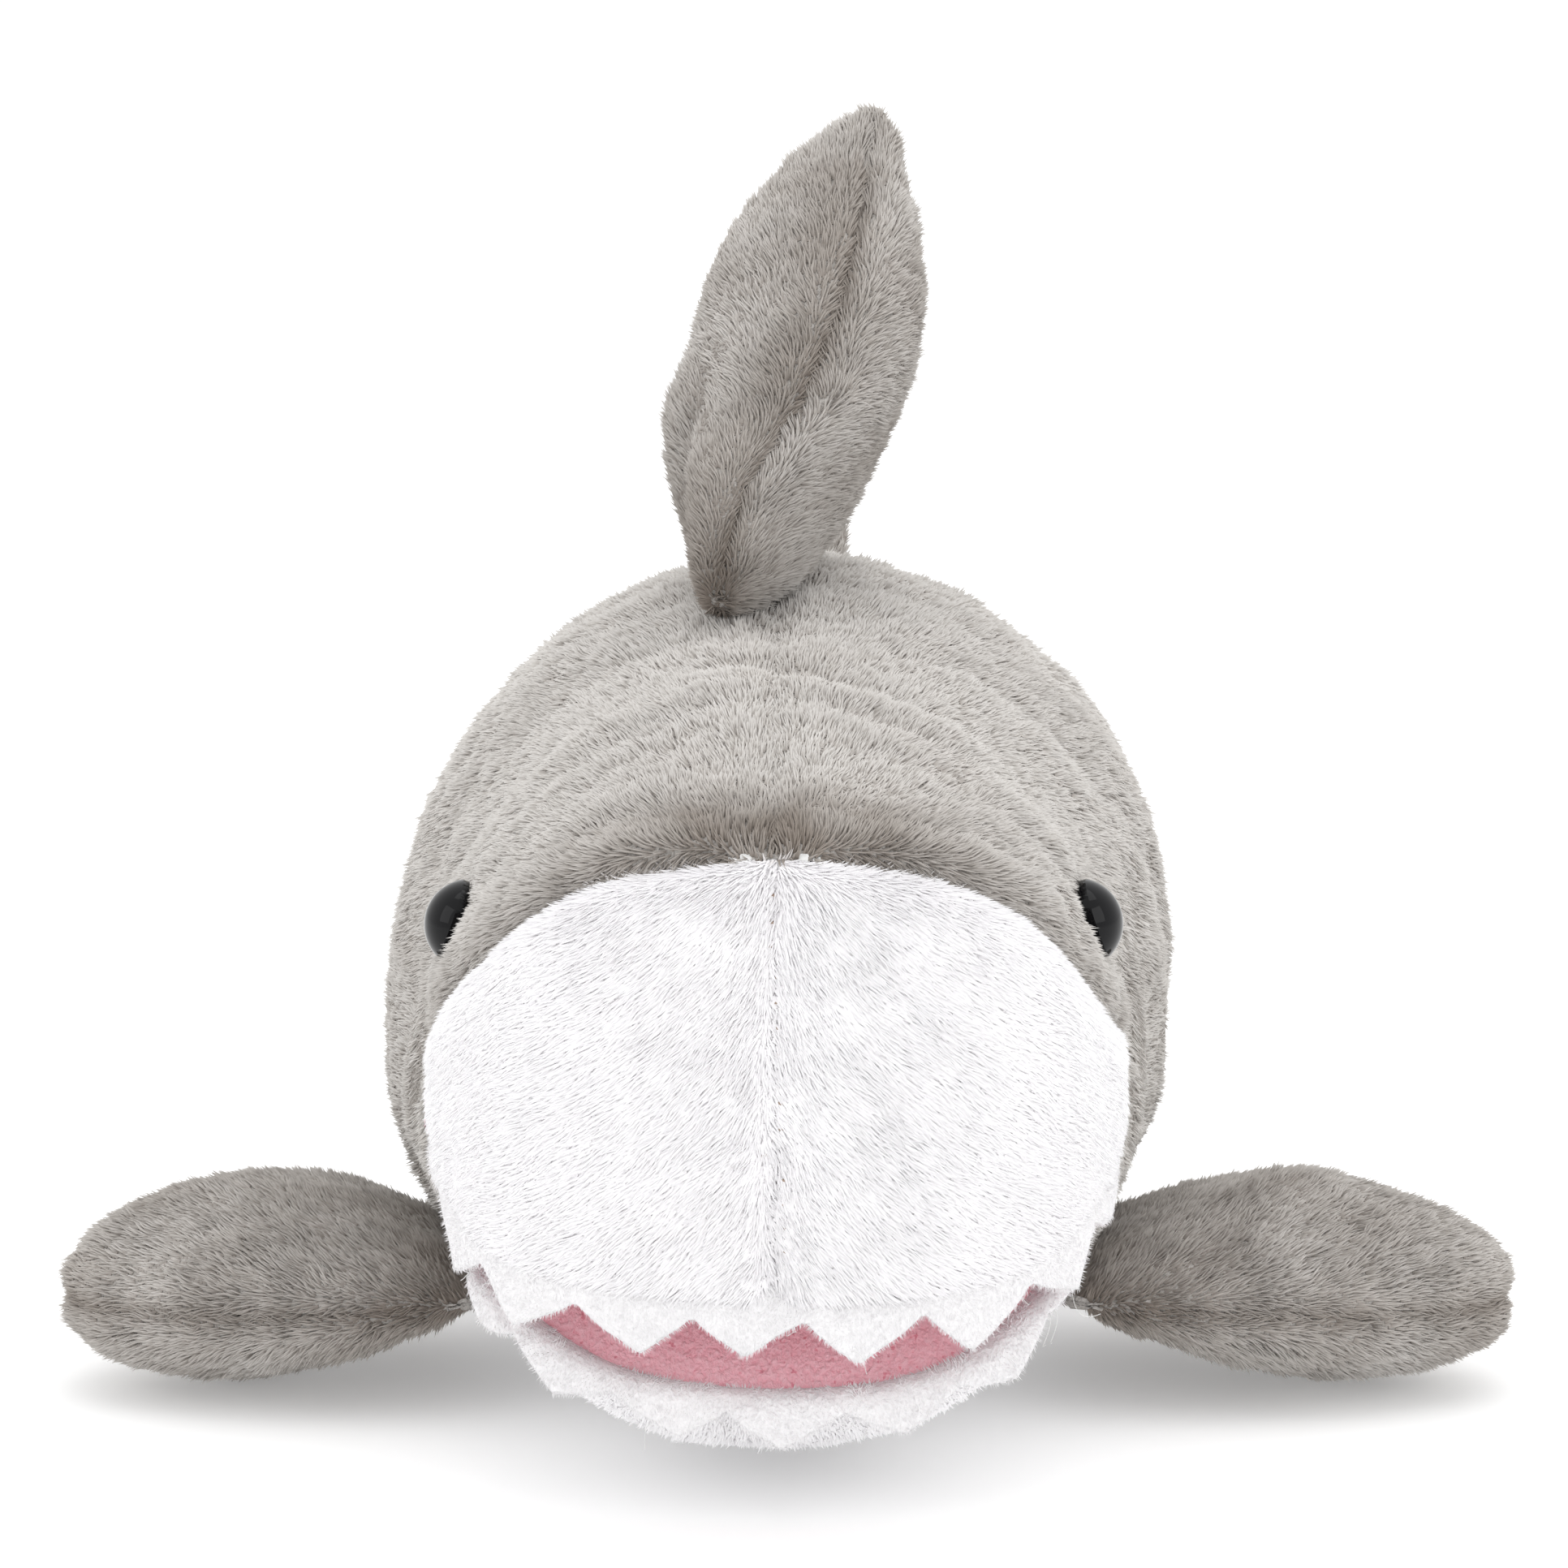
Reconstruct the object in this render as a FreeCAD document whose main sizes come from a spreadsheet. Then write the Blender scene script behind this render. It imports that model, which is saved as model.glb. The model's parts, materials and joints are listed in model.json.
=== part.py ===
"""Plush shark: sewn skin panels over a fibre filling, felt mouth and teeth, safety eyes, and four stuffed fins that
flex on their sewn roots.

Millimetres, +Z up. The shark lies on its belly along Y with its nose towards -Y; its own left side is +X. The origin
is on the floor, under the middle of the overall length. Lengths along the body are worked out from the nose, and
every finished piece is then moved so that the middle of the overall length is over the origin.
"""
import FreeCAD, Part
import math
import os

import Sketcher
from FreeCAD import Placement, Rotation, Vector

doc = FreeCAD.newDocument("plush_shark")

# ---------------------------------------------------------------- driving dimensions

SIZES = [
    ("body_length", 300.0, "nose to the end of the tail stock"),
    ("body_height", 130.0, "floor to the top of the back"),
    ("body_width", 132.0, "across the thickest part of the body"),
    ("body_squareness", 2.05, "power of the cross-section's oval: 2 is a plain ellipse, more is squarer"),
    ("nose_squareness", 2.6, "the same at the nose, fading out towards the cheeks"),
    ("fabric", 2.0, "plush fabric: knitted backing with its pile pressed down"),
    ("felt", 1.2, "mouth and teeth felt"),
    ("seam_gap", 0.4, "between two panels that are sewn edge to edge"),
    ("fill_gap", 0.4, "between a panel and the filling behind it"),
    # places on the body: _along is a share of body_length, _up is a share of body_height
    ("brow_seam_up", 0.80, "where the seam over the white snout crosses the nose"),
    ("cheek_along", 0.205, "rear end of the white snout panel"),
    ("cheek_up", 0.515, "where the snout seam ends on the cheek"),
    ("mouth_corner_up", 0.427, "height of the corner of the mouth"),
    ("palate_slope", 0.476, "rise over run of the roof of the mouth"),
    ("mouth_floor_slope", 1.11, "rise over run of the floor of the mouth"),
    ("jaw_seam_along", 0.275, "where the belly seam comes down behind the jaw"),
    ("jaw_seam_up", 0.175, "height of the belly seam there"),
    ("belly_seam_along", 0.68, "where the belly seam starts to climb to the tail"),
    ("belly_seam_up", 0.15, "height of the belly seam along the belly"),
    ("stock_seam_up", 0.42, "height of the belly seam at the tail stock"),
    # eyes
    ("eye_along", 0.167, "centre of the eye along the body"),
    ("eye_up", 0.66, "centre of the eye above the floor"),
    ("eye_diameter", 12.0, "safety eye"),
    ("eye_dome", 4.6, "height of the eye above the fabric"),
    ("eye_rim", 1.0, "straight edge of the eye below its dome"),
    ("eye_seat", 0.9, "how far the eye presses into the fabric"),
    ("eye_clearance", 0.3, "round the rim of the eye, the post and the washer"),
    ("post_diameter", 4.6, "ribbed post behind the eye"),
    ("post_length", 14.0, "under the eye"),
    ("rib_pitch", 1.6, "from one rib of the post to the next"),
    ("rib_depth", 0.35, "grooves between the ribs"),
    ("washer_drop", 2.3, "from the underside of the eye to the washer"),
    ("washer_diameter", 14.0, "locking washer inside the fabric"),
    ("washer_thickness", 1.4, "washer plate"),
    ("washer_hub", 2.2, "raised collar round the washer's hole"),
    # teeth
    ("upper_band", 3.2, "felt between the lip and the roots of the upper teeth"),
    ("upper_tooth", 6.0, "length of an upper tooth"),
    ("lower_band", 2.0, "felt between the lip and the roots of the lower teeth"),
    ("lower_tooth", 5.0, "length of a lower tooth"),
    ("lower_flop", 38.0, "degrees that the lower teeth flop out over the chin"),
    ("upper_count", 9.0, "teeth in the upper strip"),
    ("lower_count", 7.0, "teeth in the lower strip"),
    # stitches
    ("thread", 0.7, "sewing thread"),
    ("stitch_length", 2.6, "a stitch across its seam"),
    ("stitch_pitch", 3.8, "from one stitch to the next"),
    # dorsal fin
    ("dorsal_along", 0.315, "front of the dorsal fin's root"),
    ("dorsal_span", 71.0, "root to tip"),
    ("dorsal_chord", 64.0, "front to back at the root"),
    ("dorsal_thick", 34.0, "where it is fullest"),
    ("dorsal_lean", 12.0, "degrees that the fin stands off the vertical, to the shark's left"),
    # pectoral fins
    ("pectoral_along", 0.267, "front of the fin's root"),
    ("pectoral_up", 0.140, "height of the fin's root"),
    ("pectoral_span", 60.0, "root to tip"),
    ("pectoral_chord", 62.0, "front to back at the root"),
    ("pectoral_thick", 28.0, "where it is fullest"),
    ("pectoral_droop", 2.0, "degrees that the fin hangs below the level"),
    # tail fin
    ("tail_low", 12.0, "height of the lower tip above the floor"),
    ("tail_high", 132.0, "height of the upper tip above the floor"),
    ("tail_reach", 42.0, "front of the root to the rear of the tips"),
    ("tail_thick", 23.0, "where it is fullest"),
    ("tail_lean", 6.5, "degrees that the tail fin stands off the vertical, to the shark's left"),
    # sewn roots
    ("dorsal_gap", 2.7, "from the skin of the back to the root of the dorsal fin"),
    ("pectoral_gap", 4.6, "from the skin of the flank to the root of a pectoral fin"),
    ("tail_root_gap", 3.0, "from the end of the tail stock to the tail fin"),
    ("root_thick", 6.0, "a fin pressed flat where it is sewn on"),
]

# The body's outline: place along the body as a share of body_length, top and underside as shares of body_height,
# and half width as a share of half the body_width.
STATIONS = [
    ("nose", 0.0, 0.800, 0.690, 0.167),
    ("bridge", 0.013, 0.819, 0.569, 0.400),
    ("muzzle", 0.033, 0.835, 0.423, 0.538),
    ("upper_lip", 0.060, 0.854, 0.285, 0.629),
    ("lower_lip", 0.093, 0.873, 0.154, 0.705),
    ("chin", 0.127, 0.888, 0.088, 0.750),
    ("eyes", 0.167, 0.908, 0.050, 0.788),
    ("cheek", 0.217, 0.927, 0.023, 0.810),
    ("neck", 0.283, 0.954, -0.008, 0.879),
    ("shoulder", 0.367, 0.985, -0.015, 0.970),
    ("girth", 0.450, 1.000, -0.015, 1.000),
    ("flank", 0.550, 0.988, -0.015, 0.985),
    ("hip", 0.650, 0.931, 0.0, 0.894),
    ("loin", 0.750, 0.831, 0.069, 0.742),
    ("waist", 0.850, 0.723, 0.185, 0.553),
    ("wrist", 0.933, 0.646, 0.270, 0.379),
    ("stock", 1.0, 0.608, 0.323, 0.273),
]

# Fin outlines, from root to tip: share of the span, front and rear edges as shares of the chord, and thickness as a
# share of the fullest. A root thickness of 0 stands for root_thick.
DORSAL = [
    (0.00, 0.02, 0.94, 0.0),
    (0.10, 0.00, 1.00, 0.46),
    (0.22, 0.03, 1.00, 0.74),
    (0.40, 0.13, 0.99, 1.00),
    (0.62, 0.30, 0.98, 0.95),
    (0.80, 0.48, 0.97, 0.73),
    (0.94, 0.66, 0.94, 0.42),
    (1.00, 0.75, 0.87, 0.18),
]
PECTORAL = [
    (0.00, 0.04, 0.92, 0.0),
    (0.18, 0.00, 1.00, 0.60),
    (0.42, 0.02, 1.00, 0.96),
    (0.62, 0.07, 0.92, 1.00),
    (0.82, 0.15, 0.76, 0.82),
    (0.95, 0.24, 0.60, 0.52),
    (1.00, 0.32, 0.50, 0.26),
]
# The tail fin, from its lower tip to its upper tip: share of its height, front and rear edges as shares of the reach
# and thickness as a share of the fullest.
TAIL = [
    (0.00, 0.62, 0.78, 0.20),
    (0.05, 0.48, 0.83, 0.46),
    (0.18, 0.22, 0.80, 0.86),
    (0.33, 0.02, 0.70, 1.00),
    (0.44, 0.00, 0.66, 1.00),
    (0.58, 0.08, 0.72, 0.96),
    (0.76, 0.30, 0.84, 0.82),
    (0.92, 0.56, 0.96, 0.56),
    (0.98, 0.70, 0.99, 0.36),
    (1.00, 0.80, 0.97, 0.18),
]

RING_POINTS = 12      # spline points round a cross-section
FIRST_POINT = 0.25    # the ring starts at the side, away from the middle seams
BEYOND = 40.0         # how far cutting shapes run past the body
BESIDE = 0.1          # just off the middle
LEFT, RIGHT = 1, -1   # sides of the shark, as the sign of X
ALONG_ROOT = Vector(0, 1, 0)
UP = Vector(0, 0, 1)

sheet = doc.addObject("Spreadsheet::Sheet", "Sizes")
rows = [(name, value, note) for name, value, note in SIZES]
for name, along, top, low, half in STATIONS:
    rows += [
        (f"{name}_station", along, "share of body_length"),
        (f"{name}_top", top, "share of body_height"),
        (f"{name}_low", low, "share of body_height"),
        (f"{name}_half", half, "share of half of body_width"),
    ]
for number, (name, value, note) in enumerate(rows, start=1):
    sheet.set(f"A{number}", name)
    sheet.set(f"B{number}", str(value))
    sheet.setAlias(f"B{number}", name)
    sheet.set(f"C{number}", note)
doc.recompute()


def size(name):
    return float(sheet.get(name))


def cell(name):
    return f"Sizes.{name}"


LENGTH, HEIGHT = size("body_length"), size("body_height")
FABRIC, FELT, FILL_GAP = size("fabric"), size("felt"), size("fill_gap")
stitch_height = FILL_GAP + size("thread")
middle = (LENGTH + size("tail_root_gap") + size("tail_reach") - stitch_height) / 2
stock_up = (size("stock_top") + size("stock_low")) / 2 * HEIGHT
TO_ROW = Placement(Vector(0, -middle, 0), Rotation())

finished = []         # the sub-parts, in the order they are made


def finish(obj, label):
    """Names a sub-part and moves it from the nose's frame to the part's own."""
    obj.Label = label
    obj.Placement = TO_ROW.multiply(obj.Placement)
    finished.append(obj)
    return obj


def feature(name, shape):
    obj = doc.addObject("Part::Feature", name)
    obj.Shape = shape
    return obj


def boolean(kind, name, base, tool):
    """Part::Cut or Part::Common of two objects."""
    obj = doc.addObject(f"Part::{kind}", name)
    obj.Base = base
    obj.Tool = tool
    obj.recompute()
    return obj


# ---------------------------------------------------------------- body solids

def rounded(value, squareness):
    """A sine or cosine, bent so that an ellipse drawn with it becomes squarer."""
    return math.copysign(abs(value) ** (2 / squareness), value)


def ring(centre, right, up, half_right, half_up, squareness=2.0):
    """A closed oval wire round centre, in two edges that meet at its sides."""
    points = []
    for step in range(RING_POINTS):
        turn = 2 * math.pi * (step / RING_POINTS + FIRST_POINT)
        sideways, upwards = rounded(math.sin(turn), squareness), rounded(math.cos(turn), squareness)
        points.append(centre + right * (half_right * sideways) + up * (half_up * upwards))
    curve = Part.BSplineCurve()
    curve.interpolate(Points=points, PeriodicFlag=True)
    halfway = curve.parameter(points[RING_POINTS // 2])
    return Part.Wire([
        curve.toShape(curve.FirstParameter, halfway),
        curve.toShape(halfway, curve.LastParameter),
    ])


def body_solid(inset):
    """The stuffed body, drawn in by inset all round and flat where it rests on the floor."""
    rings = []
    for name, *_ in STATIONS:
        share = size(f"{name}_station")
        top = size(f"{name}_top") * HEIGHT - inset
        low = size(f"{name}_low") * HEIGHT + inset
        half = size(f"{name}_half") * size("body_width") / 2 - inset
        centre = Vector(0, share * LENGTH + inset * (1 - 2 * share), (top + low) / 2)
        fade = min(share / size("cheek_along"), 1)
        squareness = size("nose_squareness") * (1 - fade) + size("body_squareness") * fade
        rings.append(ring(centre, Vector(1, 0, 0), UP, half, (top - low) / 2, squareness))
    wide = size("body_width") + BEYOND
    above_floor = Part.makeBox(wide, LENGTH + 2 * BEYOND, HEIGHT + BEYOND, Vector(-wide / 2, -BEYOND, inset))
    return Part.makeLoft(rings, True, False).common(above_floor)


outer_body = feature("outer_body", body_solid(0))
inner_body = feature("inner_body", body_solid(FABRIC))
filled_body = feature("filled_body", body_solid(FABRIC + FILL_GAP))
skin = boolean("Cut", "skin", outer_body, inner_body)


flank_surfaces = [face.Surface for face in outer_body.Shape.Faces if face.Surface.TypeId == "Part::GeomBSplineSurface"]


def meets(start, end):
    """Where the line from start to end crosses the body's surface, nearest first."""
    line = Part.LineSegment(start, end)
    found = [Vector(spot.X, spot.Y, spot.Z) for surface in flank_surfaces for spot in line.intersect(surface)[0]]
    return sorted(found, key=lambda spot: (spot - start).Length)


def on_side(along, up, side):
    """The point of the body's flank at that place."""
    return meets(Vector(0, along, up), Vector(side * size("body_width"), along, up))[-1]


def outwards_at(point):
    """The surface's direction away from the body's middle at a point on it."""
    surface = min(flank_surfaces, key=lambda one: (one.value(*one.parameter(point)) - point).Length)
    normal = surface.normal(*surface.parameter(point))
    away = point - Vector(0, LENGTH / 2, HEIGHT / 2)
    return normal if normal.dot(away) > 0 else normal * -1


def on_back(along):
    """The top of the back, found just beside the middle, where the surface's own edge runs."""
    found = meets(Vector(BESIDE, along, stock_up), Vector(BESIDE, along, 2 * HEIGHT))[-1]
    return Vector(0, found.y, found.z)


def on_face(up):
    """The middle of the snout at that height, and which way it faces. The nose itself is flat."""
    if up > size("nose_low") * HEIGHT - BESIDE:
        return Vector(0, 0, up), Vector(0, -1, 0)
    found = meets(Vector(BESIDE, -BEYOND, up), Vector(BESIDE, LENGTH / 2, up))[0]
    return Vector(0, found.y, found.z), outwards_at(found)


# ---------------------------------------------------------------- regions of the skin

SIDE_VIEW = Placement(Vector(), Rotation(0.5, 0.5, 0.5, 0.5))  # a sketch's x along Y and its y up Z


def side_region(name, corners):
    """A prism right through the body, whose corners in side view are pairs of sheet expressions."""
    sketch = doc.addObject("Sketcher::SketchObject", f"{name}_outline")
    sketch.Placement = SIDE_VIEW
    spots = [Vector(*(sheet_value(text) for text in corner)) for corner in corners]
    for number, spot in enumerate(spots):
        sketch.addGeometry(Part.LineSegment(spot, spots[(number + 1) % len(spots)]))
    for number, corner in enumerate(corners):
        before = (number - 1) % len(corners)
        sketch.addConstraint(Sketcher.Constraint("Coincident", before, 2, number, 1))
        for kind, text, value in zip(("DistanceX", "DistanceY"), corner, spots[number]):
            index = sketch.addConstraint(Sketcher.Constraint(kind, -1, 1, number, 1, value))
            sketch.setExpression(f"Constraints[{index}]", text)
    prism = doc.addObject("Part::Extrusion", name)
    prism.Base = sketch
    prism.DirMode = "Normal"
    prism.Solid = True
    prism.Symmetric = True
    prism.setExpression("LengthFwd", f"{cell('body_width')} * 2")
    sketch.recompute()
    prism.recompute()
    return prism


def sheet_value(text):
    """What an expression comes to, worked out by the document itself."""
    probe = doc.getObject("Probe") or doc.addObject("App::FeaturePython", "Probe")
    if "result" not in probe.PropertiesList:
        probe.addProperty("App::PropertyFloat", "result")
    return float(probe.evalExpression(text))


def along(name):
    return f"{cell(name)} * {cell('body_length')}"


def up(name):
    return f"{cell(name)} * {cell('body_height')}"


AHEAD = f"-{BEYOND}"
BEHIND = f"{cell('body_length')} + {BEYOND}"
UNDER = f"-{2 * BEYOND}"
OVER = f"{cell('body_height')} * 2"
HALF_SEAM = f"{cell('seam_gap')} / 2"
CORNER_ALONG, CORNER_UP = along("cheek_along"), up("mouth_corner_up")
TO_CORNER = f"({CORNER_ALONG} + {BEYOND})"


def roof(extra=""):
    """Height of the mouth's roof at the front end of the cutting shapes."""
    return f"{CORNER_UP} - {cell('palate_slope')} * {TO_CORNER} {extra}"


def floor(extra=""):
    return f"{CORNER_UP} - {cell('mouth_floor_slope')} * {TO_CORNER} {extra}"


# The brow seam runs straight in side view from the nose to the cheek, and on to the cutting shapes' front end.
BROW_SLOPE = f"(({up('brow_seam_up')} - {up('cheek_up')}) / ({CORNER_ALONG}))"
BROW_AHEAD = f"{up('brow_seam_up')} + {BROW_SLOPE} * {BEYOND}"

snout_region = side_region("snout_region", [
    (AHEAD, roof()),
    (f"{CORNER_ALONG} - {HALF_SEAM}", f"{CORNER_UP} - {cell('palate_slope')} * {HALF_SEAM}"),
    (f"{CORNER_ALONG} - {HALF_SEAM}", f"{up('cheek_up')} - {HALF_SEAM}"),
    (AHEAD, f"{BROW_AHEAD} - {HALF_SEAM}"),
])
belly_region = side_region("belly_region", [
    (AHEAD, floor()),
    (f"{CORNER_ALONG} - {HALF_SEAM}", f"{CORNER_UP} - {cell('mouth_floor_slope')} * {HALF_SEAM}"),
    (f"{CORNER_ALONG} - {HALF_SEAM}", f"{CORNER_UP} - 2 * {cell('seam_gap')}"),
    (f"{along('jaw_seam_along')} - {HALF_SEAM}", f"{up('jaw_seam_up')} - {HALF_SEAM}"),
    (f"{along('belly_seam_along')}", f"{up('belly_seam_up')} - {HALF_SEAM}"),
    (f"{cell('body_length')}", f"{up('stock_seam_up')} - {HALF_SEAM}"),
    (BEHIND, f"{up('stock_seam_up')} - {HALF_SEAM}"),
    (BEHIND, UNDER),
    (AHEAD, UNDER),
])
back_region = side_region("back_region", [
    (AHEAD, f"{BROW_AHEAD} + {HALF_SEAM}"),
    (f"{CORNER_ALONG} + {HALF_SEAM}", f"{up('cheek_up')} + {HALF_SEAM}"),
    (f"{CORNER_ALONG} + {HALF_SEAM}", f"{CORNER_UP}"),
    (f"{along('jaw_seam_along')} + {HALF_SEAM}", f"{up('jaw_seam_up')} + {HALF_SEAM}"),
    (f"{along('belly_seam_along')}", f"{up('belly_seam_up')} + {HALF_SEAM}"),
    (f"{cell('body_length')}", f"{up('stock_seam_up')} + {HALF_SEAM}"),
    (BEHIND, f"{up('stock_seam_up')} + {HALF_SEAM}"),
    (BEHIND, OVER),
    (AHEAD, OVER),
])


def half_space(name, side):
    """Everything on one side of the middle seam."""
    box = doc.addObject("Part::Box", name)
    box.setExpression("Length", f"{cell('body_width')}")
    box.setExpression("Width", f"{cell('body_length')} + {2 * BEYOND}")
    box.setExpression("Height", f"{cell('body_height')} * 3")
    start = f"{HALF_SEAM}" if side == LEFT else f"-{HALF_SEAM} - {cell('body_width')}"
    box.setExpression("Placement.Base.x", start)
    box.Placement.Base.y = -BEYOND
    box.Placement.Base.z = -BEYOND
    box.recompute()
    return box


HALVES = {LEFT: half_space("left_side", LEFT), RIGHT: half_space("right_side", RIGHT)}
SIDE_NAMES = {LEFT: "left", RIGHT: "right"}

# ---------------------------------------------------------------- eyes

EYE_PARTS = {}


def revolved(body, name, draw):
    """A sketch on the body's XZ plane, filled in by draw, turned about the body's own Z axis."""
    plane = next(item for item in body.Origin.OriginFeatures if item.Role == "XZ_Plane")
    sketch = body.newObject("Sketcher::SketchObject", name)
    sketch.AttachmentSupport = (plane, [""])
    sketch.MapMode = "FlatFace"
    draw(sketch)
    return sketch


def bind(sketch, kind, *spot_and_text):
    """A dimension constraint tied to a sheet expression."""
    *spot, text = spot_and_text
    index = sketch.addConstraint(Sketcher.Constraint(kind, *spot, sheet_value(text)))
    sketch.setExpression(f"Constraints[{index}]", text)


def draw_eye(sketch):
    """Half of the eye's section: dome, rim, underside and post."""
    radius, dome, rim = size("eye_diameter") / 2, size("eye_dome"), size("eye_rim")
    post, length = size("post_diameter") / 2, size("post_length")
    rise = dome - rim
    sphere = (radius * radius + rise * rise) / (2 * rise)
    low = math.asin((rim - (dome - sphere)) / sphere)
    circle = Part.Circle(Vector(0, dome - sphere, 0), Vector(0, 0, 1), sphere)
    sketch.addGeometry(Part.ArcOfCircle(circle, low, math.pi / 2))
    corners = [
        Vector(radius, rim), Vector(radius, 0), Vector(post, 0), Vector(post, -length), Vector(0, -length), Vector(0, dome)
    ]
    for start, end in zip(corners, corners[1:]):
        sketch.addGeometry(Part.LineSegment(start, end))
    for number in range(1, 5):
        sketch.addConstraint(Sketcher.Constraint("Coincident", number, 2, number + 1, 1))
    sketch.addConstraint(Sketcher.Constraint("Coincident", 0, 1, 1, 1))
    sketch.addConstraint(Sketcher.Constraint("Coincident", 5, 2, 0, 2))
    sketch.addConstraint(Sketcher.Constraint("PointOnObject", 0, 3, -2))
    for number, kind in ((1, "Vertical"), (2, "Horizontal"), (3, "Vertical"), (4, "Horizontal")):
        sketch.addConstraint(Sketcher.Constraint(kind, number))
    sketch.addConstraint(Sketcher.Constraint("PointOnObject", 5, 1, -2))
    sketch.addConstraint(Sketcher.Constraint("PointOnObject", 5, 2, -2))
    sketch.addConstraint(Sketcher.Constraint("PointOnObject", 1, 2, -1))
    bind(sketch, "DistanceX", -1, 1, 1, 1, f"{cell('eye_diameter')} / 2")
    bind(sketch, "DistanceY", -1, 1, 1, 1, cell("eye_rim"))
    bind(sketch, "DistanceY", -1, 1, 0, 2, cell("eye_dome"))
    bind(sketch, "DistanceX", -1, 1, 3, 1, f"{cell('post_diameter')} / 2")
    bind(sketch, "DistanceY", 4, 2, -1, 1, cell("post_length"))


def draw_rectangle(sketch, inner, outer, low, high):
    """Half of a ring's section between two radii and two heights, all sheet expressions."""
    spots = [(inner, low), (outer, low), (outer, high), (inner, high)]
    points = [Vector(sheet_value(x), sheet_value(y), 0) for x, y in spots]
    for number, point in enumerate(points):
        sketch.addGeometry(Part.LineSegment(point, points[(number + 1) % 4]))
    for number in range(4):
        sketch.addConstraint(Sketcher.Constraint("Coincident", number, 2, (number + 1) % 4, 1))
        sketch.addConstraint(Sketcher.Constraint("Horizontal" if number % 2 == 0 else "Vertical", number))
    bind(sketch, "DistanceX", -1, 1, 0, 1, inner)
    bind(sketch, "DistanceX", -1, 1, 1, 1, outer)
    sketch.addConstraint(Sketcher.Constraint("DistanceY", -1, 1, 0, 1, points[0].y))
    sketch.setExpression(f"Constraints[{sketch.ConstraintCount - 1}]", low)
    sketch.addConstraint(Sketcher.Constraint("DistanceY", -1, 1, 2, 1, points[2].y))
    sketch.setExpression(f"Constraints[{sketch.ConstraintCount - 1}]", high)


def turn_about_z(body, kind, sketch):
    part = body.newObject(f"PartDesign::{kind}", f"{sketch.Name}_{kind.lower()}")
    part.Profile = sketch
    part.ReferenceAxis = (sketch, ["V_Axis"])
    part.Angle = 360.0
    doc.recompute()
    return part


def eye_body(side):
    body = doc.addObject("PartDesign::Body", f"{SIDE_NAMES[side]}_eye_body")
    turn_about_z(body, "Revolution", revolved(body, f"{SIDE_NAMES[side]}_eye_section", draw_eye))
    solid = body.Tip.Shape.Volume
    half_post = f"{cell('post_diameter')} / 2"
    groove = turn_about_z(body, "Groove", revolved(
        body, f"{SIDE_NAMES[side]}_rib_section",
        lambda sketch: draw_rectangle(
            sketch, f"{half_post} - {cell('rib_depth')}", f"{half_post} + 1",
            f"-{cell('post_length')} + {cell('rib_pitch')} / 2", f"-{cell('post_length')} + {cell('rib_pitch')}")))
    axis = next(item for item in body.Origin.OriginFeatures if item.Role == "Z_Axis")
    pattern = body.newObject("PartDesign::LinearPattern", f"{SIDE_NAMES[side]}_ribs")
    pattern.Originals = [groove]
    pattern.Direction = (axis, [""])
    pattern.Occurrences = int((size("post_length") - FABRIC - size("washer_thickness")) / size("rib_pitch")) - 2
    pattern.setExpression("Length", f"{cell('rib_pitch')} * {pattern.Occurrences - 1}")
    body.Tip = pattern
    doc.recompute()
    if not body.Shape.Volume < solid:
        raise RuntimeError("the ribs cut nothing from the post")
    return body


def washer_body(side):
    """A plate with a raised collar. The plate's outer face is at local height 0, and the collar points inwards."""
    body = doc.addObject("PartDesign::Body", f"{SIDE_NAMES[side]}_washer_body")
    hole = f"{cell('post_diameter')} / 2 + {cell('eye_clearance')} / 3"
    sections = (
        ("plate", f"{cell('washer_diameter')} / 2", f"-{cell('washer_thickness')}", "0"),
        ("collar", f"{cell('post_diameter')} / 2 + {cell('washer_thickness')}",
         f"-{cell('washer_thickness')} - {cell('washer_hub')}", f"-{cell('washer_thickness')}"),
    )
    for name, outer, low, high in sections:
        turn_about_z(body, "Revolution", revolved(
            body, f"{SIDE_NAMES[side]}_washer_{name}",
            lambda sketch, edges=(outer, low, high): draw_rectangle(sketch, hole, *edges)))
    return body


def disc(frame, radius, low, high):
    """A cylinder about the local Z axis of frame, from low to high."""
    solid = Part.makeCylinder(radius, high - low, Vector(0, 0, low))
    solid.Placement = frame.multiply(solid.Placement)
    return solid


def eye_frame(side):
    """The eye's underside, square to the cheek and pressed into the fabric."""
    place, height = size("eye_along") * LENGTH, size("eye_up") * HEIGHT
    spot = on_side(place, height, side)
    outwards = outwards_at(spot)
    return Placement(spot - outwards * size("eye_seat"), Rotation(Vector(0, 0, 1), outwards))


def eye_openings(side):
    """What the eye, its post and its washer take out of the fabric and the filling."""
    frame, gap = EYE_PARTS[side], size("eye_clearance")
    seat = disc(frame, size("eye_diameter") / 2 + gap, -gap, size("eye_dome") + BEYOND / 4)
    post = disc(frame, size("post_diameter") / 2 + gap, -size("post_length"), 0)
    pocket = disc(frame, size("washer_diameter") / 2 + gap, -size("post_length") - gap, 0)
    return seat.fuse(post), pocket.fuse(seat)


for side in (LEFT, RIGHT):
    EYE_PARTS[side] = eye_frame(side)

# ---------------------------------------------------------------- skin panels

for side in (LEFT, RIGHT):
    name = SIDE_NAMES[side]
    through_fabric, _ = eye_openings(side)
    opening = feature(f"{name}_eye_opening", through_fabric)
    half_skin = boolean("Common", f"{name}_skin", skin, HALVES[side])
    back = boolean("Common", f"back_{name}_blank", half_skin, back_region)
    finish(boolean("Cut", f"back_{name}_panel", back, opening), f"back_{name}")
    finish(boolean("Common", f"snout_{name}_panel", half_skin, snout_region), f"snout_{name}")
finish(boolean("Common", "belly_panel", skin, belly_region), "belly")

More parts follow.
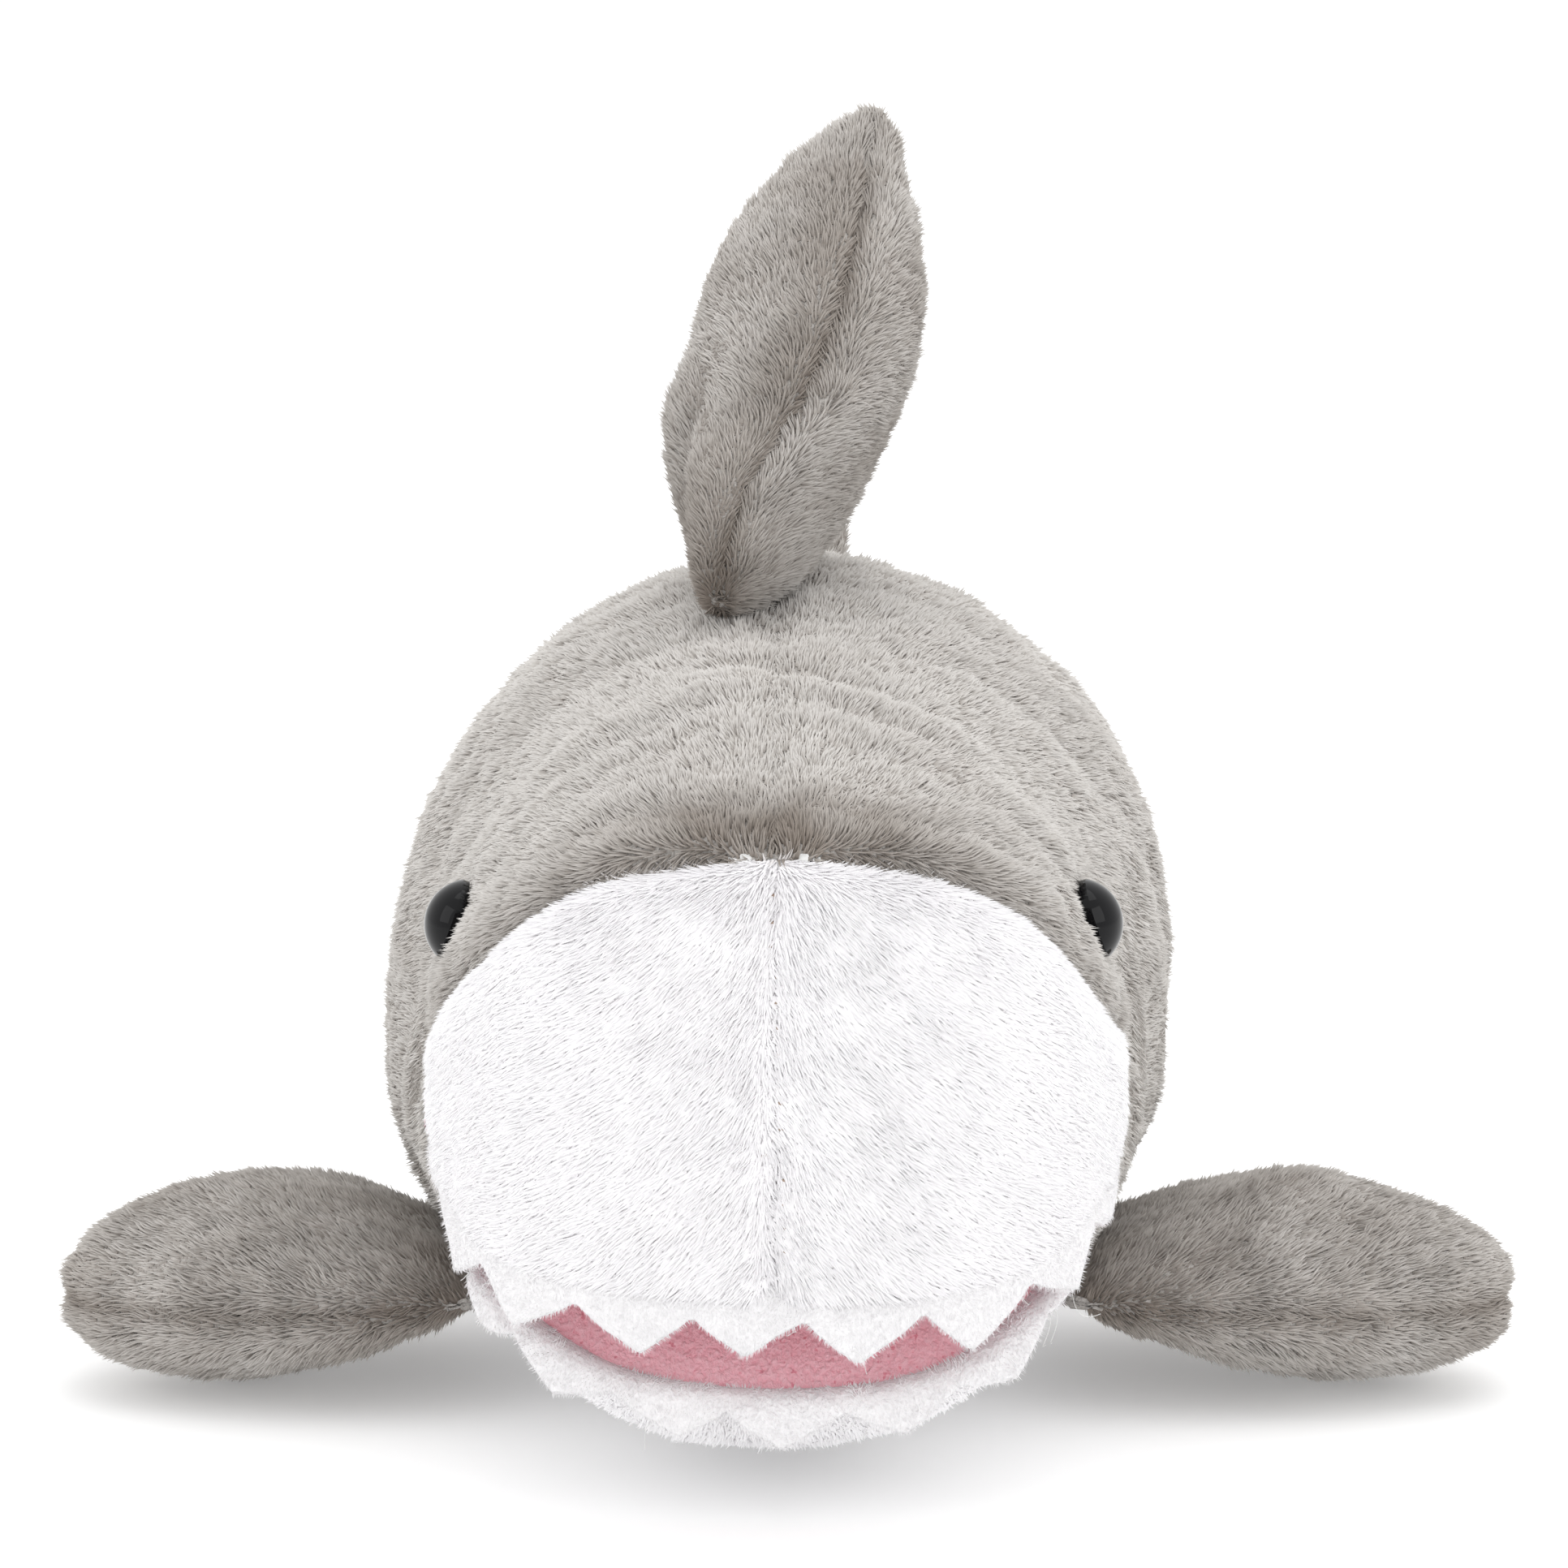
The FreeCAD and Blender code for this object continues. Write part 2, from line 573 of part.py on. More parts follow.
# ---------------------------------------------------------------- mouth lining and filling

ROOF_RISE = f"{cell('felt')} * sqrt(1 + {cell('palate_slope')} ^ 2)"
FLOOR_DROP = f"{cell('felt')} * sqrt(1 + {cell('mouth_floor_slope')} ^ 2)"
ROOF_CLEAR = f"({cell('felt')} + {cell('fill_gap')}) * sqrt(1 + {cell('palate_slope')} ^ 2)"
FLOOR_CLEAR = f"({cell('felt')} + {cell('fill_gap')}) * sqrt(1 + {cell('mouth_floor_slope')} ^ 2)"
LINING_END = f"{CORNER_ALONG} - {cell('felt')}"
LINING_BACK = f"{cell('felt')}"

palate_region = side_region("palate_region", [
    (AHEAD, roof()),
    (LINING_END, f"{CORNER_UP} - {cell('palate_slope')} * {LINING_BACK}"),
    (LINING_END, f"{CORNER_UP} - {cell('palate_slope')} * {LINING_BACK} + {ROOF_RISE}"),
    (AHEAD, roof(f"+ {ROOF_RISE}")),
])
mouth_floor_region = side_region("mouth_floor_region", [
    (AHEAD, floor()),
    (LINING_END, f"{CORNER_UP} - {cell('mouth_floor_slope')} * {LINING_BACK}"),
    (LINING_END, f"{CORNER_UP} - {cell('mouth_floor_slope')} * {LINING_BACK} - {FLOOR_DROP}"),
    (AHEAD, floor(f"- {FLOOR_DROP}")),
])
mouth_opening = side_region("mouth_opening", [
    (AHEAD, roof(f"+ {ROOF_CLEAR}")),
    (CORNER_ALONG, f"{CORNER_UP} + {ROOF_CLEAR}"),
    (CORNER_ALONG, f"{CORNER_UP} - {FLOOR_CLEAR}"),
    (AHEAD, floor(f"- {FLOOR_CLEAR}")),
])
finish(boolean("Common", "palate", filled_body, palate_region), "palate_lining")
finish(boolean("Common", "mouth_floor", filled_body, mouth_floor_region), "mouth_floor_lining")

eye_pockets = feature("eye_pockets", Part.makeCompound([eye_openings(side)[1] for side in (LEFT, RIGHT)]))
filling = boolean("Cut", "filling", filled_body, mouth_opening)
finish(boolean("Cut", "filling_with_pockets", filling, eye_pockets), "body_stuffing")

for side in (LEFT, RIGHT):
    eye, washer = eye_body(side), washer_body(side)
    eye.Placement = EYE_PARTS[side]
    washer.Placement = EYE_PARTS[side].multiply(Placement(Vector(0, 0, -size("washer_drop")), Rotation()))
    finish(eye, f"{SIDE_NAMES[side]}_eye")
    finish(washer, f"{SIDE_NAMES[side]}_eye_washer")

# ---------------------------------------------------------------- teeth

DOWN = Vector(0, 0, -1)
TEETH_CLEAR = 1.4     # from the skin to the ends of a tooth's flat plate, whose middle comes nearer
TEETH_OVERLAP = 0.2   # a tooth's plate runs into its neighbours' by this much


def lip(slope, reach):
    """Points along a lip, from the shark's right to its left, where a sloping plane through the mouth's corners
    leaves the body. The lip stops at reach along the body."""
    corner = Vector(0, size("cheek_along") * LENGTH, size("mouth_corner_up") * HEIGHT)
    normal = Vector(0, -slope, 1).normalize()
    outline = outer_body.Shape.slice(normal, normal.dot(corner))[0]
    points = [point for point in outline.discretize(Number=600) if point.y < reach]
    return sorted(points, key=lambda point: math.atan2(point.x, reach - point.y))


def evenly(points, count):
    """count + 1 points along a line of points, the same distance apart."""
    walked = [0.0]
    for before, after in zip(points, points[1:]):
        walked.append(walked[-1] + (after - before).Length)
    found = []
    for number in range(count + 1):
        goal = walked[-1] * number / count
        spot = next(i for i, far in enumerate(walked) if far >= goal - 1e-9)
        before = max(spot - 1, 0)
        run = walked[spot] - walked[before]
        share = (goal - walked[before]) / run if run else 0.0
        found.append(points[before] + (points[spot] - points[before]) * share)
    return found


def tooth_strip(slope, reach, count, band, tooth, stand_off, flop=0.0):
    """A strip of flat felt teeth that hangs from a lip, stand_off outside the skin. Flop is how many degrees the
    teeth swing outwards."""
    strip = None
    spots = evenly(lip(slope, reach), count)
    for start, end in zip(spots, spots[1:]):
        run = (end - start).normalize()
        outwards = Vector(run.y, -run.x, 0).normalize()
        first = start - run * TEETH_OVERLAP + outwards * stand_off
        last = end + run * TEETH_OVERLAP + outwards * stand_off
        hang = DOWN * math.cos(math.radians(flop)) + outwards * math.sin(math.radians(flop))
        tip = (first + last) / 2 + hang * (band + tooth)
        outline = [first, last, last + hang * band, tip, first + hang * band, first]
        plate = Part.Face(Part.makePolygon(outline)).extrude(hang.cross(run).normalize() * FELT)
        strip = plate if strip is None else strip.fuse(plate)
    return strip.removeSplitter()


mouth_corner = size("cheek_along") * LENGTH
upper_strip = tooth_strip(
    size("palate_slope"), mouth_corner - size("upper_band"), int(size("upper_count")),
    size("upper_band"), size("upper_tooth"), TEETH_CLEAR)
lower_strip = tooth_strip(
    size("mouth_floor_slope"), mouth_corner - 2 * (size("upper_band") + size("upper_tooth")), int(size("lower_count")),
    size("lower_band"), size("lower_tooth"), TEETH_CLEAR, size("lower_flop"))
finish(feature("upper_strip", upper_strip), "upper_teeth")
finish(feature("lower_strip", lower_strip), "lower_teeth")

# ---------------------------------------------------------------- stitches

def stitch(point, outwards, across):
    """A short length of thread that lies across a seam, just clear of the skin."""
    length, radius = size("stitch_length"), size("thread") / 2
    middle = point + outwards * (radius + FILL_GAP)
    return Part.makeCylinder(radius, length, middle - across * (length / 2), across)


def stitches_between(start, end):
    """Places one stitch pitch apart, from start to end."""
    count = max(int((end - start) / size("stitch_pitch")), 1)
    return [start + (end - start) * (number + 0.5) / count for number in range(count)]


def stitch_row(label, stitches):
    finish(feature(f"{label}_thread", Part.makeCompound(stitches)), label)


ACROSS = Vector(1, 0, 0)
lip_up = size("upper_lip_low") * HEIGHT + size("stitch_pitch")
brow_up = size("brow_seam_up") * HEIGHT - size("stitch_pitch")
face_places = [on_face(height) for height in stitches_between(lip_up, brow_up)]
stitch_row("snout_seam_stitches", [stitch(spot, outwards, ACROSS) for spot, outwards in face_places])

dorsal_front = size("dorsal_along") * LENGTH
dorsal_rear = dorsal_front + size("dorsal_chord")
margin = 2 * size("stitch_pitch")
back_places = stitches_between(margin, dorsal_front - margin) + stitches_between(dorsal_rear + margin, LENGTH - margin)
back_spots = [on_back(place) for place in back_places]
stitch_row("back_seam_stitches", [stitch(spot, outwards_at(spot), ACROSS) for spot in back_spots])


def belly_seam_height(place):
    """Height of the belly seam above the floor, between the corners of its outline in side view."""
    knots = [(size("jaw_seam_along") * LENGTH, size("jaw_seam_up") * HEIGHT),
             (size("belly_seam_along") * LENGTH, size("belly_seam_up") * HEIGHT),
             (LENGTH, size("stock_seam_up") * HEIGHT)]
    for (start, low), (end, high) in zip(knots, knots[1:]):
        if place <= end:
            return low + (high - low) * (place - start) / (end - start)
    return knots[-1][1]


pectoral_front = size("pectoral_along") * LENGTH
pectoral_rear = pectoral_front + size("pectoral_chord")
for side in (LEFT, RIGHT):
    made = []
    for place in stitches_between(pectoral_rear + margin, LENGTH - margin):
        spot = on_side(place, belly_seam_height(place), side)
        outwards = outwards_at(spot)
        made.append(stitch(spot, outwards, Vector(0, 1, 0).cross(outwards).normalize()))
    stitch_row(f"{SIDE_NAMES[side]}_belly_seam_stitches", made)

# ---------------------------------------------------------------- fins

def fin_solid(outline, span, chord, thick, inset, root_thick):
    """A stuffed fin in its own frame: root on the XY plane, span up Z, chord along Y and thickness along X."""
    rings = []
    for share, front, rear, full in outline:
        height = share * (span - 2 * inset) + inset
        half_thick = (full * thick if full else root_thick) / 2 - inset
        half_chord = (rear - front) * chord / 2 - inset
        centre = Vector(0, (front + rear) * chord / 2, height)
        rings.append(ring(centre, Vector(1, 0, 0), Vector(0, 1, 0), half_thick, half_chord))
    return Part.makeLoft(rings, True, False)


def tail_solid(inset):
    """The tail fin in its own frame: front of the root at the origin, tips up and down Z."""
    low, high, reach = size("tail_low"), size("tail_high"), size("tail_reach")
    rear_most = max(rear for _, _, rear, _ in TAIL)
    rings = []
    for share, front, rear, full in TAIL:
        height = low + inset + share * (high - low - 2 * inset) - stock_up
        half_chord = (rear - front) / rear_most * reach / 2 - inset
        centre = Vector(0, (front + rear) / rear_most * reach / 2, height)
        rings.append(ring(centre, Vector(1, 0, 0), Vector(0, 1, 0), full * size("tail_thick") / 2 - inset, half_chord))
    return Part.makeLoft(rings, True, False)


def fin_half(side):
    """Everything on one side of a fin's edge seam, in the fin's own frame."""
    reach = 4 * BEYOND
    start = size("seam_gap") / 2 if side == LEFT else -size("seam_gap") / 2 - reach
    return Part.makeBox(reach, 2 * reach, 2 * reach, Vector(start, -reach, -reach))


def sew_fin(solid, frame, panels, filling):
    """Two panels and a filling from solid(inset), put in their places by frame."""
    shell = solid(0).cut(solid(FABRIC))
    for side, label in panels:
        panel = feature(f"{label}_panel", shell.common(fin_half(side)))
        panel.Placement = frame
        finish(panel, label)
    fill = feature(f"{filling}_fill", solid(FABRIC + FILL_GAP))
    fill.Placement = frame
    finish(fill, filling)


def report_hinge(name, frame, axis):
    """Prints a fin's hinge in the part's own frame, for the record."""
    base = TO_ROW.multiply(frame).Base
    direction = frame.Rotation.multVec(axis)
    print("hinge", name, [round(v, 3) for v in base], [round(v, 5) for v in direction])


def root_base(start, outwards, spots, gap):
    """The start of a root line, moved out until the line clears the skin by the gap at all the spots."""
    bulge = max((spot - start).dot(outwards) for spot in spots)
    return start + outwards * (max(bulge, 0) + gap)


dorsal_start, dorsal_end = on_back(dorsal_front), on_back(dorsal_rear)
dorsal_run = (dorsal_end - dorsal_start).normalize()
dorsal_up = Vector(1, 0, 0).cross(dorsal_run).normalize()
dorsal_spots = [on_back(place) for place in stitches_between(dorsal_front, dorsal_rear)]
dorsal_level = Placement(
    root_base(dorsal_start, dorsal_up, dorsal_spots, size("dorsal_gap")),
    Rotation(Vector(1, 0, 0), dorsal_run, dorsal_up, "ZYX"))
dorsal_frame = dorsal_level.multiply(Placement(Vector(), Rotation(ALONG_ROOT, size("dorsal_lean"))))
sew_fin(
    lambda inset: fin_solid(
        DORSAL, size("dorsal_span"), size("dorsal_chord"), size("dorsal_thick"), inset, size("root_thick")),
    dorsal_frame,
    [(LEFT, "dorsal_fin_left"), (RIGHT, "dorsal_fin_right")], "dorsal_fin_stuffing")
report_hinge("dorsal_fin", dorsal_frame, ALONG_ROOT)

for side in (LEFT, RIGHT):
    name = SIDE_NAMES[side]
    height = size("pectoral_up") * HEIGHT
    start, end = on_side(pectoral_front, height, side), on_side(pectoral_rear, height, side)
    run = (end - start).normalize()
    outwards = UP.cross(run).normalize() * -side
    spots = [on_side(place, height, side) for place in stitches_between(pectoral_front, pectoral_rear)]
    thickness = run.cross(outwards).normalize()
    base = root_base(start, outwards, spots, size("pectoral_gap"))
    level = Placement(base, Rotation(thickness, run, outwards, "ZYX"))
    frame = level.multiply(Placement(Vector(), Rotation(ALONG_ROOT, -side * size("pectoral_droop"))))
    top_side = LEFT if frame.Rotation.multVec(Vector(1, 0, 0)).z > 0 else RIGHT
    sew_fin(
        lambda inset: fin_solid(
            PECTORAL, size("pectoral_span"), size("pectoral_chord"), size("pectoral_thick"), inset, size("root_thick")),
        frame,
        [(top_side, f"{name}_fin_top"), (-top_side, f"{name}_fin_bottom")], f"{name}_fin_stuffing")
    report_hinge(f"{name}_fin", frame, ALONG_ROOT)

tail_frame = Placement(
    Vector(0, LENGTH + size("tail_root_gap"), stock_up), Rotation(ALONG_ROOT, size("tail_lean")))
sew_fin(tail_solid, tail_frame, [(LEFT, "tail_fin_left"), (RIGHT, "tail_fin_right")], "tail_fin_stuffing")
report_hinge("tail_fin", tail_frame, UP)

# ---------------------------------------------------------------- checks and export

doc.recompute()
for obj in doc.Objects:
    if "Invalid" in obj.State or "Error" in obj.State:
        raise RuntimeError(f"{obj.Label} failed to build: {obj.State}")
for obj in finished:
    shape = obj.Shape
    if shape.isNull() or not shape.isValid() or not shape.Solids or shape.Volume <= 0:
        raise RuntimeError(f"{obj.Label} has no valid solid")

os.makedirs("parts", exist_ok=True)
for obj in finished:
    obj.Shape.exportStep(f"parts/{obj.Label}.step")
print("wrote", len(finished), "sub-parts")
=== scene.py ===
"""Looks of the plush shark: sewn plush with its pile, felt mouth and teeth, glossy eyes and seam thread."""
import itertools
import json
import math
import random

import bmesh
import bpy
import numpy as np
from mathutils import Matrix, Vector, noise
from mathutils.bvhtree import BVHTree


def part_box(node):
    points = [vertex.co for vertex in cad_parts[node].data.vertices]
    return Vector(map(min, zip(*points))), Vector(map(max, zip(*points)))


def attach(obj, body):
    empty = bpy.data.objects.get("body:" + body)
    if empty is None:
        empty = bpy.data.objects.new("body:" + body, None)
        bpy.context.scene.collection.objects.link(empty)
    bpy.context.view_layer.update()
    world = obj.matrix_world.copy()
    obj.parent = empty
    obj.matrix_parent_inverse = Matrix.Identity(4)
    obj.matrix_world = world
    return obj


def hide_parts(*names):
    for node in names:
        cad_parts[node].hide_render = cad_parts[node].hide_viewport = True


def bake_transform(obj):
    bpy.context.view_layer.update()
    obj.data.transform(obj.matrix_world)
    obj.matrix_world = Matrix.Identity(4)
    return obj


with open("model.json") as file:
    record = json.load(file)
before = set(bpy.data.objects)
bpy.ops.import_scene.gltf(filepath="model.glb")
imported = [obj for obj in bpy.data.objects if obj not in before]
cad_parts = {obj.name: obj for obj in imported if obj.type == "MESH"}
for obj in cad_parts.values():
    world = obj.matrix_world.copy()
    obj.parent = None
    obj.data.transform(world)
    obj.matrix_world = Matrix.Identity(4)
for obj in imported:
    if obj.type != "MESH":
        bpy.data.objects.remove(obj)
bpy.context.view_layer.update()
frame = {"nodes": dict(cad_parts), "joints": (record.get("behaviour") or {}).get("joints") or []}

MM = 0.001

JOINTS = {joint["name"]: joint for joint in frame["joints"]}
NOSE_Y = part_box("snout_left")[0].y
LEFT, RIGHT = 1, -1
SIDE = {LEFT: "left", RIGHT: "right"}
UP = Vector((0, 0, 1))

# ---------------------------------------------------------------- joining pieces to the frame

def on_body(piece, slot, node=None):
    """Makes a piece ride on the body, in place of a CAD node where one is given; slot is not used."""
    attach(piece, "body")
    if node:
        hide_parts(node)


# ---------------------------------------------------------------- camera

ELEVATION = math.radians(10)      # the camera looks down on the nose by this much
AIM_BELOW = math.radians(0.88)    # and its middle is above the nose by this much
NOSE_UP = 0.103
CAMERA_AWAY = 0.700
LENS, SENSOR = 116.5, 36.0

camera_data = bpy.data.cameras.new("camera")
camera_data.lens = LENS
camera_data.sensor_width = SENSOR
camera_data.clip_end = 30
camera = bpy.data.objects.new("camera", camera_data)
bpy.context.scene.collection.objects.link(camera)
camera.location = (
    0, NOSE_Y - CAMERA_AWAY * math.cos(ELEVATION), NOSE_UP + CAMERA_AWAY * math.sin(ELEVATION))
camera.rotation_euler = (math.pi / 2 - ELEVATION + AIM_BELOW, 0, math.radians(-0.11))
bpy.context.scene.camera = camera
bpy.context.scene.view_settings.view_transform = "Standard"

# ---------------------------------------------------------------- the body's outline, in mm from the nose

BODY_LENGTH, BODY_HEIGHT, BODY_HALF = 300.0, 130.0, 66.0
STATIONS = [
    (0.0, 0.800, 0.690, 0.167), (0.013, 0.819, 0.569, 0.400), (0.033, 0.835, 0.423, 0.538),
    (0.060, 0.854, 0.285, 0.629), (0.093, 0.873, 0.154, 0.705), (0.127, 0.888, 0.088, 0.750),
    (0.167, 0.908, 0.050, 0.788), (0.217, 0.927, 0.023, 0.810), (0.283, 0.954, -0.008, 0.879),
    (0.367, 0.985, -0.015, 0.970), (0.450, 1.000, -0.015, 1.000), (0.550, 0.988, -0.015, 0.985),
    (0.650, 0.931, 0.0, 0.894), (0.750, 0.831, 0.069, 0.742), (0.850, 0.723, 0.185, 0.553),
    (0.933, 0.646, 0.270, 0.379), (1.0, 0.608, 0.323, 0.273),
]
NOSE_SQUARE, BODY_SQUARE, CHEEK = 2.6, 2.05, 0.205


def smooth_through(values, at):
    """A natural cubic spline through evenly numbered values, read at the places in at."""
    values = np.asarray(values, float)
    count = len(values)
    matrix, right = np.eye(count), np.zeros(count)
    for i in range(1, count - 1):
        matrix[i, i - 1:i + 2] = (1, 4, 1)
        right[i] = 6 * (values[i + 1] - 2 * values[i] + values[i - 1])
    bend = np.linalg.solve(matrix, right)
    cell = np.clip(np.floor(at).astype(int), 0, count - 2)
    t = at - cell
    low, high, bend_low, bend_high = values[cell], values[cell + 1], bend[cell], bend[cell + 1]
    return (low * (1 - t) + high * t
            + ((1 - t) ** 3 - (1 - t)) * bend_low / 6 + (t ** 3 - t) * bend_high / 6)


def oval(turn, squareness):
    """Unit cross-section points, squarer than a circle where squareness is above 2."""
    power = 2 / squareness
    across = np.sign(np.sin(turn)) * np.abs(np.sin(turn)) ** power
    upwards = np.sign(np.cos(turn)) * np.abs(np.cos(turn)) ** power
    return across, upwards


def loft(rings):
    """A closed form from rings of points: the first ring is a circle that is extruded from ring to ring."""
    count = len(rings[0])
    form = bmesh.new()
    circle = bmesh.ops.create_circle(form, segments=count, radius=1.0)["verts"]
    for vert, spot in zip(circle, rings[0]):
        vert.co = spot
    edges = first_edges = form.edges[:]
    for spots in rings[1:]:
        grown = bmesh.ops.extrude_edge_only(form, edges=edges)["geom"]
        verts = [item for item in grown if isinstance(item, bmesh.types.BMVert)]
        edges = [item for item in grown if isinstance(item, bmesh.types.BMEdge) and item.is_boundary]
        for vert, spot in zip(verts, spots):
            vert.co = spot
    for rim in (first_edges, edges):
        cap = bmesh.ops.contextual_create(form, geom=rim)["faces"]
        bmesh.ops.poke(form, faces=cap)
    bmesh.ops.recalc_face_normals(form, faces=form.faces)
    return form


def mesh_object(name, form):
    mesh = bpy.data.meshes.new(name)
    form.to_mesh(mesh)
    form.free()
    for polygon in mesh.polygons:
        polygon.use_smooth = True
    made = bpy.data.objects.new(name, mesh)
    bpy.context.scene.collection.objects.link(made)
    return made


RING_SIDES = 132


def body_rings():
    numbers = np.concatenate([np.linspace(0, 7, 84, endpoint=False), np.linspace(7, 16, 82)])
    columns = [smooth_through([row[i] for row in STATIONS], numbers) for i in range(4)]
    rings = []
    turn = np.linspace(0, 2 * math.pi, RING_SIDES, endpoint=False)
    for along, top, low, half in zip(*columns):
        fade = min(along / CHEEK, 1)
        across, upwards = oval(turn, NOSE_SQUARE * (1 - fade) + BODY_SQUARE * fade)
        middle, tall = (top + low) / 2 * BODY_HEIGHT, (top - low) / 2 * BODY_HEIGHT
        x = across * half * BODY_HALF
        z = np.maximum(middle + upwards * tall, 0.0)
        rings.append([Vector((a, along * BODY_LENGTH, b)) for a, b in zip(x, z)])
    nose, tail = rings[0], rings[-1]
    nose_bulge = ((0.25, -0.9), (0.5, -0.8), (0.75, -0.55), (0.9, -0.25))
    tail_bulge = ((0.92, 2.2), (0.75, 4.2), (0.5, 5.6), (0.2, 6.4))
    nose_rings = [shrunk(nose, share, (0, bulge, 0)) for share, bulge in nose_bulge]
    tail_rings = [shrunk(tail, share, (0, bulge, 0)) for share, bulge in tail_bulge]
    return nose_rings + rings + tail_rings


def shrunk(ring, share, move):
    """A ring drawn in towards its middle and moved."""
    middle = sum(ring, Vector()) / len(ring)
    return [middle + (spot - middle) * share + Vector(move) for spot in ring]


# ---------------------------------------------------------------- seams of the body, in side view

CHEEK_ALONG, CHEEK_UP, CORNER_UP = 61.5, 67.0, 55.5
PALATE_SLOPE, FLOOR_SLOPE = 0.476, 1.11
JAW_ALONG, JAW_UP = 82.5, 22.8
BELLY_SEAM = [(82.5, 22.8), (204.0, 19.5), (300.0, 54.6), (340.0, 54.6)]
BROW_SEAM = [(-10.0, 113.5), (0.0, 104.0), (22.0, 86.5), (44.0, 73.0), (CHEEK_ALONG, CHEEK_UP)]


def brow_height(y):
    """Height of the seam over the white snout, in side view."""
    return np.interp(y, [spot[0] for spot in BROW_SEAM], [spot[1] for spot in BROW_SEAM])


def line_distance(y, z, start, end):
    """Distance in side view from a point to a straight seam."""
    run = np.array(end, float) - np.array(start, float)
    t = np.clip(((y - start[0]) * run[0] + (z - start[1]) * run[1]) / (run @ run), 0, 1)
    return np.hypot(y - start[0] - t * run[0], z - start[1] - t * run[1])


SIDE_SEAMS = [
    ((CHEEK_ALONG, CHEEK_UP), (CHEEK_ALONG, CORNER_UP)),
    ((CHEEK_ALONG, CORNER_UP), (JAW_ALONG, JAW_UP)),
] + list(zip(BROW_SEAM, BROW_SEAM[1:])) + list(zip(BELLY_SEAM, BELLY_SEAM[1:]))


def seam_distance(x, y, z):
    """Distance to the nearest seam, for arrays of body points in millimetres from the nose."""
    nearest = np.full(len(x), 99.0)
    for start, end in SIDE_SEAMS:
        nearest = np.minimum(nearest, line_distance(y, z, start, end))
    white = z < brow_height(y)
    below = z < CORNER_UP - FLOOR_SLOPE * (CHEEK_ALONG - y)
    middle = np.where(white & (y > 5) & below, 99.0, np.abs(x))
    middle = np.where(z < 30, 99.0, middle)
    return np.minimum(nearest, middle)


def panel_of(x, y, z):
    """Which panel covers a body point in millimetres from the nose."""
    palate = CORNER_UP - PALATE_SLOPE * (CHEEK_ALONG - y)
    floor = CORNER_UP - FLOOR_SLOPE * (CHEEK_ALONG - y)
    if y < CHEEK_ALONG:
        if z > brow_height(y):
            return "back_left" if x > 0 else "back_right"
        if z > palate:
            return "snout_left" if x > 0 else "snout_right"
        return "belly" if z < floor else "mouth"
    if y < JAW_ALONG:
        jaw = CORNER_UP + (JAW_UP - CORNER_UP) * (y - CHEEK_ALONG) / (JAW_ALONG - CHEEK_ALONG)
        if z < jaw:
            return "belly"
    elif z < np.interp(y, [spot[0] for spot in BELLY_SEAM], [spot[1] for spot in BELLY_SEAM]):
        return "belly"
    return "back_left" if x > 0 else "back_right"


def cut_along_seams(form):
    """Bisects the body along every seam, so that the panels part on clean edges."""
    planes = [
        (Vector((0, 0, 0)), Vector((1, 0, 0))),
        (Vector((0, CHEEK_ALONG, 0)), Vector((0, 1, 0))),
        (Vector((0, CHEEK_ALONG, CORNER_UP)), Vector((0, -PALATE_SLOPE, 1))),
        (Vector((0, CHEEK_ALONG, CORNER_UP)), Vector((0, -FLOOR_SLOPE, 1))),
    ]
    for start, end in SIDE_SEAMS:
        run = Vector((0, end[0] - start[0], end[1] - start[1]))
        planes.append((Vector((0, *start)), Vector((1, 0, 0)).cross(run).normalized()))
    for spot, normal in planes:
        everything = form.verts[:] + form.edges[:] + form.faces[:]
        bmesh.ops.bisect_plane(form, geom=everything, dist=0.05, plane_co=spot, plane_no=normal)


# ---------------------------------------------------------------- soft relief of the stuffed body

PROUD = -0.9       # the skin lies this far inside its outline, so that the pile comes up to it
EYES = [(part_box(f"{SIDE[side]}_eye")[0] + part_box(f"{SIDE[side]}_eye")[1]) / 2 for side in (LEFT, RIGHT)]


def eye_distance(points):
    """Distance to the nearer eye's middle, for points in millimetres from the nose."""
    middles = [np.array((spot.x, spot.y - NOSE_Y, spot.z)) / MM for spot in EYES]
    return np.min([np.linalg.norm(points - middle, axis=1) for middle in middles], axis=0)


def gather(distance, depth, width):
    """Fabric drawn in at a seam, with a slight swell beside it."""
    swell = 0.35 * depth * np.exp(-((distance - 3 * width) / (2 * width)) ** 2)
    return -depth * np.exp(-(distance / width) ** 2) + swell


def field(points, scale, seed):
    """Smooth noise at points in millimetres."""
    shift = Vector((seed * 17.3, seed * 5.1, seed * 9.7))
    return np.array([noise.noise(Vector(p) / scale + shift) for p in points])


def fold(distance, depth, width):
    """A soft crease with a rounded lip on each side."""
    lips = 0.5 * np.exp(-((np.abs(distance) - 2.2 * width) / (1.3 * width)) ** 2)
    return depth * (-np.exp(-(distance / width) ** 2) + lips)


# creases that run round the forehead and the neck: place along the back, slope backwards down the side, depth
CREASES = [
    (14.0, 0.42, 0.7), (31.0, 0.36, 0.9), (50.0, 0.30, 0.9), (70.0, 0.22, 1.2), (92.0, 0.12, 1.1), (118.0, 0.05, 0.8),
    (196.0, -0.2, 1.2), (262.0, -0.1, 1.3),
]


